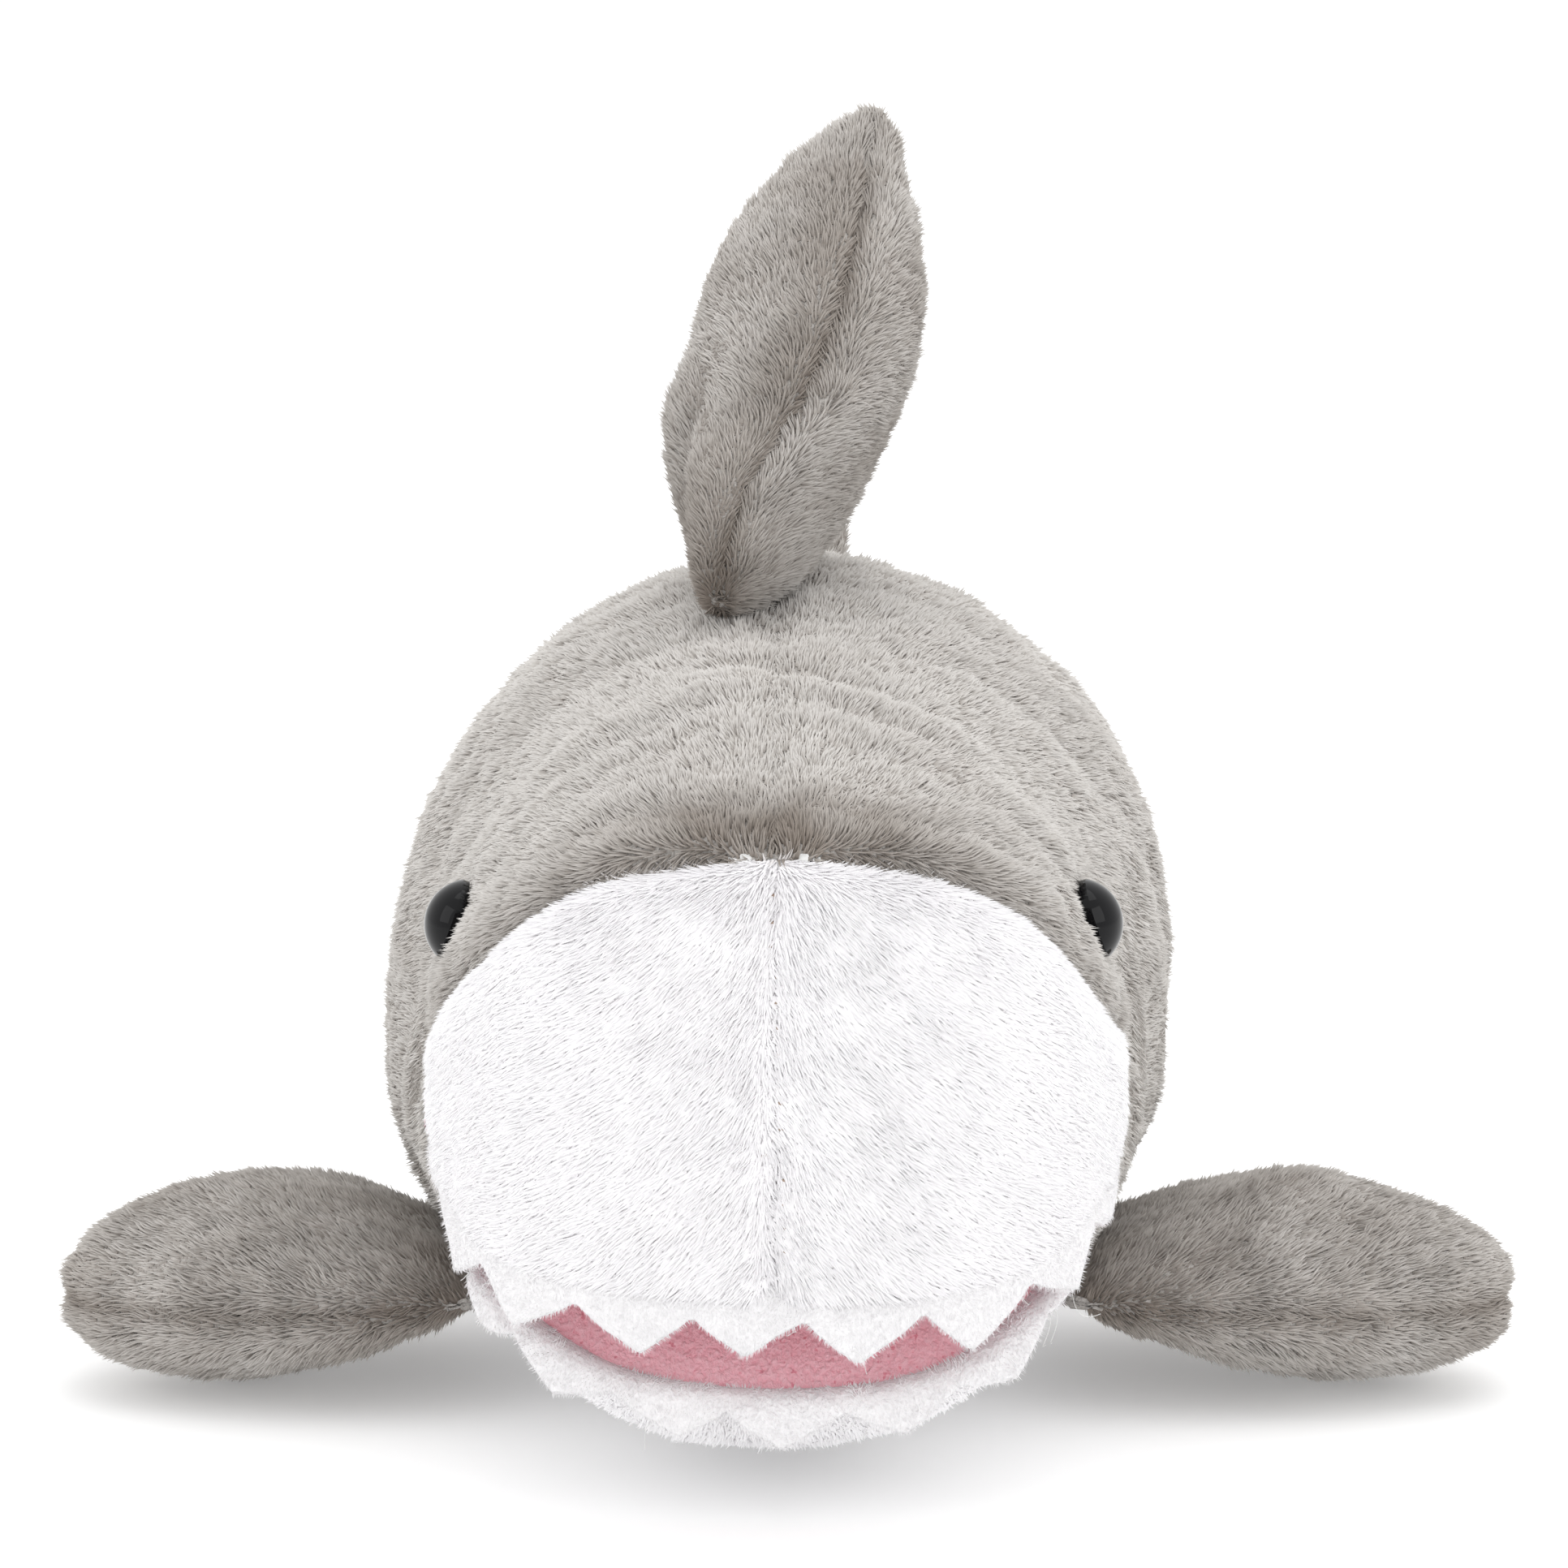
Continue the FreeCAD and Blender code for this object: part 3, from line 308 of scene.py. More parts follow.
def body_relief(points):
    x, y, z = points.T
    snout = (z < brow_height(y)) & (y < CHEEK_ALONG)
    along_back = (np.abs(x) < 6) & (z > 60)
    relief = gather(seam_distance(x, y, z), 1.5, 1.9) * np.where(along_back, np.where(snout, 0.6, 0.4), 1)
    settled = np.interp(z, [44, 58, 75, 100, 130], [0, 0.5, 1, 1, 0.6]) * np.interp(y, [58, 95], [0, 1])
    relief -= settled * (2.9 - 2.0 * np.tanh(x / 25.0)) * np.interp(y, [190, 290], [1, 0.3])
    relief += 1.5 * field(points, 38.0, 1) + 0.7 * field(points, 15.0, 2)
    wander = 12.0 * field(points, 42.0, 3)
    strength = np.clip(0.35 + 1.5 * field(points, 26.0, 4), 0, 1)
    grey = z > brow_height(y) + 4
    for place, slope, depth in CREASES:
        line = y - place - slope * (112 - z) - 0.004 * x * x + wander
        relief += np.where(grey | (y > CHEEK_ALONG), strength * fold(line, depth, 3.8), 0)
    relief += 3.2 * np.exp(-((y - 38) / 15) ** 2 - (x / 42) ** 2) * np.clip((26 - z) / 8, 0, 1)
    calm = 1 - np.exp(-(eye_distance(points) / 9.0) ** 4)
    return PROUD + calm * relief - 0.5 * (1 - calm)


def relieve(form, relief):
    """Moves every vertex along its normal by relief(points), in millimetres."""
    form.normal_update()
    points = np.array([vert.co for vert in form.verts])
    for vert, rise in zip(form.verts, relief(points)):
        vert.co += vert.normal * float(rise)
    form.normal_update()


# ---------------------------------------------------------------- fins, in millimetres from their roots

DORSAL = [
    (-0.06, 0.08, 0.88, 0.34), (0.00, 0.02, 0.94, 0.46), (0.10, 0.00, 1.00, 0.68), (0.22, 0.03, 1.00, 0.86),
    (0.40, 0.13, 0.99, 1.00), (0.62, 0.30, 0.98, 0.97), (0.80, 0.48, 0.97, 0.72), (0.93, 0.66, 0.94, 0.36),
    (1.00, 0.76, 0.88, 0.12),
]
PECTORAL = [
    (-0.12, 0.10, 0.86, 0.0), (0.00, 0.04, 0.92, 0.0), (0.18, 0.00, 1.00, 0.60), (0.42, 0.02, 1.00, 0.96),
    (0.62, 0.07, 0.92, 1.00), (0.82, 0.15, 0.76, 0.86), (0.95, 0.23, 0.62, 0.64), (1.00, 0.29, 0.55, 0.44),
]
TAIL = [
    (0.00, 0.62, 0.78, 0.20), (0.05, 0.48, 0.83, 0.46), (0.18, 0.22, 0.80, 0.86), (0.33, 0.02, 0.70, 1.00),
    (0.44, 0.00, 0.66, 1.00), (0.58, 0.08, 0.72, 0.96), (0.76, 0.30, 0.84, 0.82), (0.92, 0.56, 0.96, 0.56),
    (0.98, 0.70, 0.99, 0.36), (1.00, 0.80, 0.97, 0.18),
]
ROOT_THICK = 6.0
FIN_SIDES = 72


def fin_rings(outline, span, chord, thick, low=0.0):
    """Rings of a stuffed fin in its own frame: thickness along X, chord along Y, span up Z."""
    numbers = np.linspace(0, len(outline) - 1, 14 * (len(outline) - 1) // 2)
    full = [(row[3] * thick if row[3] else ROOT_THICK) for row in outline]
    shares, fronts, rears = ([row[i] for row in outline] for i in range(3))
    columns = [smooth_through(values, numbers) for values in (shares, fronts, rears, full)]
    turn = np.linspace(0, 2 * math.pi, FIN_SIDES, endpoint=False)
    rings = []
    for share, front, rear, deep in zip(*columns):
        across, lengthways = oval(turn, 1.86)
        middle, half = (front + rear) / 2 * chord, (rear - front) / 2 * chord
        spots = zip(across, lengthways)
        rings.append([Vector((a * deep / 2, middle + b * half, low + share * span)) for a, b in spots])
    cap = ((0.86, 0.9), (0.62, 1.7), (0.32, 2.3))
    return rings + [shrunk(rings[-1], share, (0, 0, rise)) for share, rise in cap]


def root_frame(joint, level_up, lean):
    """Places a fin's own frame at its joint: Y along the root, Z up the span."""
    along = Vector(JOINTS[joint]["axis"]).normalized()
    span = (Matrix.Rotation(math.radians(lean), 3, along) @ level_up).normalized()
    turn = Matrix((along.cross(span), along, span)).transposed()
    return Matrix.Translation(Vector(JOINTS[joint]["pos_m"])) @ turn.to_4x4()


def dorsal_frame():
    along = Vector(JOINTS["dorsal_fin_sway"]["axis"]).normalized()
    return root_frame("dorsal_fin_sway", Vector((1, 0, 0)).cross(along), 12.0)


def pectoral_frame(side):
    joint = f"{SIDE[side]}_fin_flap"
    along = Vector(JOINTS[joint]["axis"]).normalized()
    return root_frame(joint, UP.cross(along) * -side, -side * -2.0)


def tail_frame():
    up = Vector(JOINTS["tail_fin_sway"]["axis"]).normalized()
    along = Vector((0, 1, 0))
    turn = Matrix((along.cross(up), along, up)).transposed()
    return Matrix.Translation(Vector(JOINTS["tail_fin_sway"]["pos_m"])) @ turn.to_4x4()


def edge_gather(points):
    """Fin fabric drawn in along its edge seam and lightly puckered beside it."""
    x, y, z = points.T
    relief = gather(np.abs(x), 1.0, 1.6)
    pucker = np.sin(z / 2.1 + 3 * field(points, 22.0, 5)) * np.exp(-((np.abs(x) - 3.5) / 3.0) ** 2)
    return relief + 0.28 * pucker + 0.9 * field(points, 24.0, 6) + 0.4 * field(points, 9.0, 7)


# ---------------------------------------------------------------- materials

def new_material(name):
    material = bpy.data.materials.new(name)
    material.use_nodes = True
    nodes = material.node_tree.nodes
    return material, nodes, material.node_tree.links, nodes["Principled BSDF"]


def mixed(nodes, links, share, low, high, blend="MIX"):
    """A colour between low and high by share, or low multiplied by high by share."""
    mix = nodes.new("ShaderNodeMix")
    mix.data_type = "RGBA"
    mix.blend_type = blend
    links.new(share, mix.inputs["Factor"])
    for name, colour in (("A", low), ("B", high)):
        socket = next(item for item in mix.inputs if item.name == name and item.type == "RGBA")
        if isinstance(colour, bpy.types.NodeSocket):
            links.new(colour, socket)
        else:
            socket.default_value = (*colour, 1)
    return next(item for item in mix.outputs if item.type == "RGBA")


def object_noise(nodes, links, scale, detail=2.0, stretch=(1, 1, 1)):
    place = nodes.new("ShaderNodeTexCoord")
    mapping = nodes.new("ShaderNodeMapping")
    mapping.inputs["Scale"].default_value = stretch
    grain = nodes.new("ShaderNodeTexNoise")
    grain.inputs["Scale"].default_value = scale
    grain.inputs["Detail"].default_value = detail
    links.new(place.outputs["Object"], mapping.inputs["Vector"])
    links.new(mapping.outputs["Vector"], grain.inputs["Vector"])
    return grain.outputs["Fac"]


def ramp(nodes, links, value, low, high):
    """Stretches value so that low becomes 0 and high becomes 1."""
    stretch = nodes.new("ShaderNodeMapRange")
    links.new(value, stretch.inputs["Value"])
    stretch.inputs["From Min"].default_value = low
    stretch.inputs["From Max"].default_value = high
    return stretch.outputs["Result"]


# painted shade: the tint that the pile's colour is multiplied towards where painted shade is stored on the skin
PAINTED_SHADE_TINT = (0.40, 0.35, 0.31)      # what the pile's colour is multiplied by where it is fully shaded


def plush_pile(name, root, middle, tip, streak):
    """Pile fibres: darker at the root, paler at the tip, with soft streaks and tufts, and darkened by painted shade.
    """
    material, nodes, links, shader = new_material(name)
    reach = nodes.new("ShaderNodeAttribute")
    reach.attribute_name = "reach"
    tuft = ramp(nodes, links, object_noise(nodes, links, 420.0), 0.35, 0.65)
    cloud = ramp(nodes, links, object_noise(nodes, links, 45.0, 3.0), 0.3, 0.7)
    body = mixed(nodes, links, tuft, middle, streak)
    body = mixed(nodes, links, ramp(nodes, links, reach.outputs["Fac"], 0.0, 0.55), root, body)
    top = mixed(nodes, links, cloud, tip, [0.95 * value for value in tip])
    colour = mixed(nodes, links, ramp(nodes, links, reach.outputs["Fac"], 0.5, 1.0), body, top)
    # painted shade, with some random tone, stored on each skin vertex, darkens the pile's colour
    shade = nodes.new("ShaderNodeAttribute")
    shade.attribute_name = "shade"
    colour = mixed(nodes, links, shade.outputs["Fac"], colour, PAINTED_SHADE_TINT, "MULTIPLY")
    links.new(colour, shader.inputs["Base Color"])
    shader.inputs["Roughness"].default_value = 0.8
    shader.inputs["Specular IOR Level"].default_value = 0.15
    shader.inputs["Sheen Weight"].default_value = 0.15
    return material


def plush_backing(name, low, high):
    material, nodes, links, shader = new_material(name)
    knit = ramp(nodes, links, object_noise(nodes, links, 900.0, 3.0), 0.35, 0.65)
    links.new(mixed(nodes, links, knit, low, high), shader.inputs["Base Color"])
    bump = nodes.new("ShaderNodeBump")
    bump.inputs["Distance"].default_value = 0.0004
    links.new(knit, bump.inputs["Height"])
    links.new(bump.outputs["Normal"], shader.inputs["Normal"])
    shader.inputs["Roughness"].default_value = 0.95
    return material


def felt(name, low, high, speck=None):
    """Pressed felt: tangled fibre grain, with specks where they are given."""
    material, nodes, links, shader = new_material(name)
    tangle = ramp(nodes, links, object_noise(nodes, links, 1400.0, 5.0, (1, 1, 0.6)), 0.3, 0.7)
    colour = mixed(nodes, links, tangle, low, high)
    if speck:
        dots = ramp(nodes, links, object_noise(nodes, links, 900.0, 2.0), 0.62, 0.70)
        colour = mixed(nodes, links, dots, colour, speck)
    links.new(colour, shader.inputs["Base Color"])
    bump = nodes.new("ShaderNodeBump")
    bump.inputs["Distance"].default_value = 0.0003
    links.new(tangle, bump.inputs["Height"])
    links.new(bump.outputs["Normal"], shader.inputs["Normal"])
    shader.inputs["Roughness"].default_value = 0.9
    shader.inputs["Sheen Weight"].default_value = 0.3
    return material


def plain(name, colour, roughness, specular=0.5):
    """A moulded or spun finish with a faint unevenness."""
    material, nodes, links, shader = new_material(name)
    wear = ramp(nodes, links, object_noise(nodes, links, 260.0, 4.0), 0.3, 0.7)
    dark = [value * 0.9 for value in colour]
    links.new(mixed(nodes, links, wear, dark, colour), shader.inputs["Base Color"])
    shader.inputs["Roughness"].default_value = roughness
    shader.inputs["Specular IOR Level"].default_value = specular
    return material


GREY_PILE = plush_pile(
    "grey_pile", (0.38, 0.35, 0.325), (0.53, 0.505, 0.475), (0.70, 0.68, 0.655), (0.62, 0.595, 0.57))
WHITE_PILE = plush_pile(
    "white_pile", (0.95, 0.935, 0.95), (0.95, 0.94, 0.95), (0.965, 0.96, 0.97), (0.955, 0.945, 0.96))
GREY_BACKING = plush_backing("grey_backing", (0.40, 0.375, 0.35), (0.48, 0.455, 0.43))
WHITE_BACKING = plush_backing("white_backing", (0.88, 0.865, 0.88), (0.94, 0.93, 0.94))
WHITE_FELT = felt("white_felt", (0.88, 0.87, 0.88), (0.95, 0.94, 0.95))
PINK_FELT = felt("pink_felt", (0.98, 0.50, 0.57), (1.0, 0.62, 0.68), (0.84, 0.30, 0.37))
EYE_BLACK = plain("eye_black", (0.003, 0.003, 0.004), 0.06, 0.22)
WASHER_PLASTIC = plain("washer_plastic", (0.80, 0.80, 0.77), 0.45)
LOOSE_FIBRE = plain("loose_fibre", (0.88, 0.88, 0.87), 0.95)
GREY_THREAD = plain("grey_thread", (0.30, 0.27, 0.24), 0.8)
SEAM_THREAD = plain("seam_thread", (0.38, 0.29, 0.23), 0.8)

# ---------------------------------------------------------------- pile

FIBRE_SIDES = 3


def fibre(name, thick):
    """One lock of pile: a thin closed spike of unit length, with its reach from root to tip."""
    form = bmesh.new()
    bmesh.ops.create_cone(
        form, cap_ends=True, segments=FIBRE_SIDES, radius1=thick / 2, radius2=0, depth=1.0)
    bmesh.ops.translate(form, verts=form.verts, vec=(0, 0, 0.5))
    bmesh.ops.remove_doubles(form, verts=form.verts, dist=1e-5)
    bmesh.ops.recalc_face_normals(form, faces=form.faces)
    mesh = bpy.data.meshes.new(name)
    form.to_mesh(mesh)
    form.free()
    reach = mesh.attributes.new("reach", "FLOAT", "POINT")
    reach.data.foreach_set("value", [vert.co.z for vert in mesh.vertices])
    return bpy.data.objects.new(name, mesh)


def feed(tree, socket, value):
    """Links a socket, or sets it to a plain value."""
    if isinstance(value, bpy.types.NodeSocket):
        tree.links.new(value, socket)
    else:
        socket.default_value = value


def add(tree, kind, **inputs):
    """A node with its inputs set or linked by name."""
    node = tree.nodes.new(kind)
    for name, value in inputs.items():
        feed(tree, node.inputs[name], value)
    return node


def vector_math(tree, operation, *values, scale=None):
    node = tree.nodes.new("ShaderNodeVectorMath")
    node.operation = operation
    for socket, value in zip(node.inputs, values):
        feed(tree, socket, value)
    if scale is not None:
        node.inputs["Scale"].default_value = scale
    return node.outputs["Vector"]


def product(tree, first, second):
    node = tree.nodes.new("ShaderNodeMath")
    node.operation = "MULTIPLY"
    for socket, value in zip(node.inputs, (first, second)):
        feed(tree, socket, value)
    return node.outputs["Value"]


def named(tree, name, kind):
    node = tree.nodes.new("GeometryNodeInputNamedAttribute")
    node.data_type = kind
    node.inputs["Name"].default_value = name
    return node.outputs["Attribute"]


def pile_group(lock, per_mm2, seed, tangle):
    """Grows a lock of pile at random points of a skin, along its comb direction, and drops the skin."""
    tree = bpy.data.node_groups.new(f"pile_{seed}", "GeometryNodeTree")
    for way in ("INPUT", "OUTPUT"):
        tree.interface.new_socket(name="Geometry", in_out=way, socket_type="NodeSocketGeometry")
    entry, leave = tree.nodes.new("NodeGroupInput"), tree.nodes.new("NodeGroupOutput")
    dense = product(tree, named(tree, "dense", "FLOAT"), per_mm2 / MM ** 2)
    scatter = add(
        tree, "GeometryNodeDistributePointsOnFaces", Mesh=entry.outputs["Geometry"], Seed=seed, Density=dense)
    comb, length = named(tree, "comb", "FLOAT_VECTOR"), named(tree, "length", "FLOAT")
    fine = add(tree, "ShaderNodeTexNoise", Scale=330.0, Detail=1.0)
    broad = add(tree, "ShaderNodeTexNoise", Scale=95.0, Detail=1.0)
    stray = add(tree, "FunctionNodeRandomValue", Seed=seed)
    stray.data_type = "FLOAT_VECTOR"
    stray.inputs["Min"].default_value = (-1, -1, -1)
    stray.inputs["Max"].default_value = (1, 1, 1)
    drift = vector_math(tree, "SUBTRACT", fine.outputs["Color"], (0.5, 0.5, 0.5))
    sweep = vector_math(tree, "SUBTRACT", broad.outputs["Color"], (0.5, 0.5, 0.5))
    way = vector_math(tree, "ADD", comb, vector_math(tree, "SCALE", drift, scale=3.2 * tangle))
    way = vector_math(tree, "ADD", way, vector_math(tree, "SCALE", sweep, scale=2.2 * tangle))
    way = vector_math(tree, "ADD", way, vector_math(tree, "SCALE", stray.outputs["Value"], scale=0.22))
    aim = add(tree, "FunctionNodeAlignRotationToVector", Vector=vector_math(tree, "NORMALIZE", way))
    aim.axis = "Z"
    vary = add(tree, "FunctionNodeRandomValue", Seed=seed + 7)
    vary.data_type = "FLOAT"
    float_inputs = [socket for socket in vary.inputs if socket.type == "VALUE"]
    float_inputs[0].default_value, float_inputs[1].default_value = 0.72, 1.12
    varied = next(socket for socket in vary.outputs if socket.type == "VALUE")
    size = add(tree, "ShaderNodeCombineXYZ", X=MM, Y=MM, Z=product(tree, length, varied))
    source = add(tree, "GeometryNodeObjectInfo", Object=lock)
    grow = add(
        tree, "GeometryNodeInstanceOnPoints", Points=scatter.outputs["Points"],
        Instance=source.outputs["Geometry"], Rotation=aim.outputs["Rotation"], Scale=size.outputs["Vector"])
    real = add(tree, "GeometryNodeRealizeInstances", Geometry=grow.outputs["Instances"])
    tree.links.new(real.outputs["Geometry"], leave.inputs["Geometry"])
    return tree


def spread_uv(mesh, per_lock):
    """Gives every lock its own small square of the map, root at one side and tip at the other."""
    locks = len(mesh.vertices) // per_lock
    across = max(math.ceil(math.sqrt(locks)), 1)
    loops = np.empty(len(mesh.loops), np.int64)
    mesh.loops.foreach_get("vertex_index", loops)
    lock = loops // per_lock
    reach = np.empty(len(mesh.vertices), np.float32)
    mesh.attributes["reach"].data.foreach_get("value", reach)
    u = (lock % across + 0.25 + 0.5 * (loops % per_lock) / per_lock) / across
    v = (lock // across + 0.12 + 0.76 * reach[loops]) / across
    layer = mesh.uv_layers.new(name="OFBake")
    layer.data.foreach_set("uv", np.stack([u, v], 1).astype(np.float32).ravel())


def grow_pile(name, skin, material, per_mm2, thick, seed, tangle=0.45):
    """A piece of pile that stands on skin."""
    lock = fibre(f"{name}_lock", thick)
    bpy.context.scene.collection.objects.link(lock)
    modifier = skin.modifiers.new("pile", "NODES")
    modifier.node_group = pile_group(lock, per_mm2, seed, tangle)
    bpy.context.view_layer.update()
    grown = bpy.data.meshes.new_from_object(skin.evaluated_get(bpy.context.evaluated_depsgraph_get()))
    skin.modifiers.remove(modifier)
    grown.name = name
    spread_uv(grown, len(lock.data.vertices))
    bpy.data.objects.remove(lock)
    grown.materials.clear()
    grown.materials.append(material)
    pile = bpy.data.objects.new(name, grown)
    bpy.context.scene.collection.objects.link(pile)
    return pile


def comb_skin(skin, comb, length, dense, shade):
    """Stores how the pile lies and its painted shade: comb(points, normals) is its direction, and the rest come per
    vertex.
    """
    mesh = skin.data
    count = len(mesh.vertices)
    points, normals = np.empty(count * 3), np.empty(count * 3)
    mesh.vertices.foreach_get("co", points)
    mesh.vertices.foreach_get("normal", normals)
    points, normals = points.reshape(-1, 3), normals.reshape(-1, 3)
    for name, kind, values in (
            ("comb", "FLOAT_VECTOR", comb(points, normals)), ("length", "FLOAT", length(points)),
            ("dense", "FLOAT", dense(points)), ("shade", "FLOAT", shade(points))):
        field_name = "vector" if kind == "FLOAT_VECTOR" else "value"
        attribute = mesh.attributes.new(name, kind, "POINT")
        attribute.data.foreach_set(field_name, np.asarray(values, np.float32).ravel())


def laid(flow, normals, lift):
    """Directions that run along flow on the surface and stand up by lift."""
    flat = flow - normals * np.sum(flow * normals, 1, keepdims=True)
    flat /= np.maximum(np.linalg.norm(flat, axis=1, keepdims=True), 1e-6)
    return flat + normals * lift


# ---------------------------------------------------------------- body panels

def to_row(form):
    """From millimetres behind the nose to the part's own frame."""
    bmesh.ops.scale(form, verts=form.verts, vec=(MM, MM, MM))
    bmesh.ops.translate(form, verts=form.verts, vec=(0, NOSE_Y, 0))


def from_nose(points):
    """Row-frame points as millimetres from the nose."""
    return np.stack([points[:, 0], points[:, 1] - NOSE_Y, points[:, 2]], 1) / MM


def body_flow(points):
    x, y, z = from_nose(points).T
    white = z < brow_height(y)
    face = white & (y < CHEEK_ALONG) & (z > CORNER_UP - FLOOR_SLOPE * (CHEEK_ALONG - y))
    grey = np.stack([x / 55, np.full_like(x, 1.0), -0.25 - np.abs(x) / 120], 1)
    snout = np.stack([np.sign(x) * (0.55 + np.abs(x) / 40), np.full_like(x, 0.3), np.full_like(x, -0.75)], 1)
    chin = np.stack([x / 60, np.full_like(x, 0.5), np.full_like(x, -0.6)], 1)
    belly = np.stack([x * 0, np.full_like(x, 1.0), x * 0], 1)
    below = np.where((y < 90)[:, None], chin, belly)
    return np.where(white[:, None], np.where(face[:, None], snout, below), grey)


def body_comb(points, normals):
    x, y, z = from_nose(points).T
    brow = np.exp(-((z - brow_height(y)) / 9) ** 2) * (y < 70)
    white = z < brow_height(y)
    tufts = np.where(white, 0.08, 0.2) * field(from_nose(points), 16.0, 8)
    lift = np.where(z < UNDER, 0.12, np.where(white, 0.30, 0.42) + 0.35 * brow + tufts)
    return laid(body_flow(points), normals, lift[:, None])


def body_length(points):
    places = from_nose(points)
    x, y, z = places.T
    length = 2.7 - 0.7 * np.exp(-(seam_distance(x, y, z) / 1.2) ** 2) + 0.4 * field(places, 12.0, 9)
    length *= np.where(z < brow_height(y), 0.85, 1.0)
    below_lip = (CORNER_UP - FLOOR_SLOPE * (CHEEK_ALONG - y) - z) / math.hypot(1, FLOOR_SLOPE)
    length *= np.where((y < JAW_ALONG) & (below_lip > -1), np.clip(0.35 + below_lip / 14, 0.35, 1), 1)
    length *= np.clip((eye_distance(places) - 3) / 8, 0.5, 1)
    return MM * np.where(z < UNDER, 0.5, length)


UNDER = 0.8           # below this height the body lies on its pile
FRONT_END = 128.0     # pile is denser ahead of here, millimetres from the nose
EYE_CLEAR = 6.3       # no pile grows nearer than this to the middle of an eye


def body_dense(points):
    places = from_nose(points)
    dense = np.interp(places[:, 1], [FRONT_END - 20, FRONT_END + 20], [1.0, 0.42])
    dense *= np.where(places[:, 2] < UNDER, 0.3, 1.0)
    return dense * np.clip((eye_distance(places) - EYE_CLEAR) / 0.6, 0, 1)


# Painted shade on the grey pile: a dark patch in the hollow above the middle of the snout seam and a line along the
# brow seam, where shade falls, with random blotchy tone over all the grey and nothing on the white.
def body_painted_shade_and_tone(points):
    places = from_nose(points)
    x, y, z = places.T
    above = (z - brow_height(y)) * 0.84
    grey = (above > -1) & (y < 120)
    # painted shade in the hollow above the middle of the nose
    painted_shade_patch = np.exp(-(x / 24.0) ** 2 - ((above - 6.0) / 9.0) ** 2) * (0.95 + 0.5 * field(places, 7.0, 17))
    brow = 0.2 * np.exp(-(above / 4.0) ** 2) + 0.85 * painted_shade_patch
    shade = np.where(grey, brow, 0) + 0.17 * np.clip(field(places, 24.0, 12), 0, 1)
    return np.clip(np.where(z < brow_height(y), 0.0, shade), 0, 0.9)


body_form = loft(body_rings())
cut_along_seams(body_form)
body_form.faces.index_update()
face_panels = [panel_of(*face.calc_center_median()) for face in body_form.faces]
relieve(body_form, body_relief)
GREY = (GREY_PILE, GREY_BACKING, "grey_plush")
WHITE = (WHITE_PILE, WHITE_BACKING, "white_plush")
PANELS = {      # the plush of each body panel, its locks of pile per mm2, and how tangled they are
    "back_left": (GREY, 3.9, 0.42), "back_right": (GREY, 3.9, 0.42), "snout_left": (WHITE, 7.2, 0.24),
    "snout_right": (WHITE, 7.2, 0.24), "belly": (WHITE, 2.7, 0.3),
}
LOCK_THICK = {"": 0.44, "_front": 0.50, "_rear": 0.95}
SKIN_THICK = 0.7
SEEDS = itertools.count(1)      # one for each piece of pile, in the order they are grown


def panel_skin(node):
    """One panel cut out of the body's form, before it gets its thickness."""
    form = body_form.copy()
    form.faces.ensure_lookup_table()
    others = [face for face, panel in zip(form.faces, face_panels) if panel != node]
    bmesh.ops.delete(form, geom=others, context="FACES")
    to_row(form)
    return mesh_object(f"{node}_skin", form)


def thicken(skin, thickness):
    """Gives a skin its thickness, inwards."""
    wall = skin.modifiers.new("wall", "SOLIDIFY")
    wall.thickness = thickness * MM
    wall.offset = -1
    apply_modifiers(skin)


def apply_modifiers(piece):
    bpy.context.view_layer.update()
    finished = bpy.data.meshes.new_from_object(piece.evaluated_get(bpy.context.evaluated_depsgraph_get()))
    finished.name = piece.name
    piece.modifiers.clear()
    piece.data = finished


def split_pile(skin, keep_front):
    """A copy of the skin that keeps only the faces ahead of, or behind, the dense part's end."""
    form = bmesh.new()
    form.from_mesh(skin.data)
    limit = NOSE_Y + FRONT_END * MM
    drop = [face for face in form.faces if (face.calc_center_median().y < limit) != keep_front]
    bmesh.ops.delete(form, geom=drop, context="FACES")
    return mesh_object(f"{skin.name}_part", form)


for node, ((pile_material, backing, slot), per_mm2, tangle) in PANELS.items():
    skin = panel_skin(node)
    comb_skin(skin, body_comb, body_length, body_dense, body_painted_shade_and_tone)
    parts = [("", skin)]
    if not node.startswith("snout"):
        parts = [("_front", split_pile(skin, True)), ("_rear", split_pile(skin, False))]
    for suffix, part in parts:
        pile = grow_pile(
            f"{node}_pile{suffix}", part, pile_material, per_mm2, LOCK_THICK[suffix], next(SEEDS), tangle)
        on_body(pile, slot)
        if part is not skin:
            bpy.data.objects.remove(part)
    thicken(skin, SKIN_THICK)
    skin.data.materials.append(backing)
    on_body(skin, slot, node)

# ---------------------------------------------------------------- fins

def fin_form(rings, relief):
    form = loft(rings)
    everything = form.verts[:] + form.edges[:] + form.faces[:]
    bmesh.ops.bisect_plane(form, geom=everything, dist=0.02, plane_co=(0, 0, 0), plane_no=(1, 0, 0))
    relieve(form, relief)
    return form


def straight(points):
    return np.zeros_like(points)


def fin_mesh(name, form, place, bend):
    """A fin piece moved from its own frame in millimetres to its place, bent by bend(points)."""
    moves = bend(np.array([vert.co for vert in form.verts]))
    for vert, move in zip(form.verts, moves):
        vert.co += Vector(move)
    bmesh.ops.scale(form, verts=form.verts, vec=(MM, MM, MM))
    bmesh.ops.transform(form, matrix=place, verts=form.verts)
    return mesh_object(name, form)


def sew(piece, body, slot):
    """Makes a tail fin piece ride on the tail fin, and bakes the place of any other fin piece into its mesh."""
    if body == "tail_fin":
        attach(piece, body)
    else:
        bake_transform(piece)


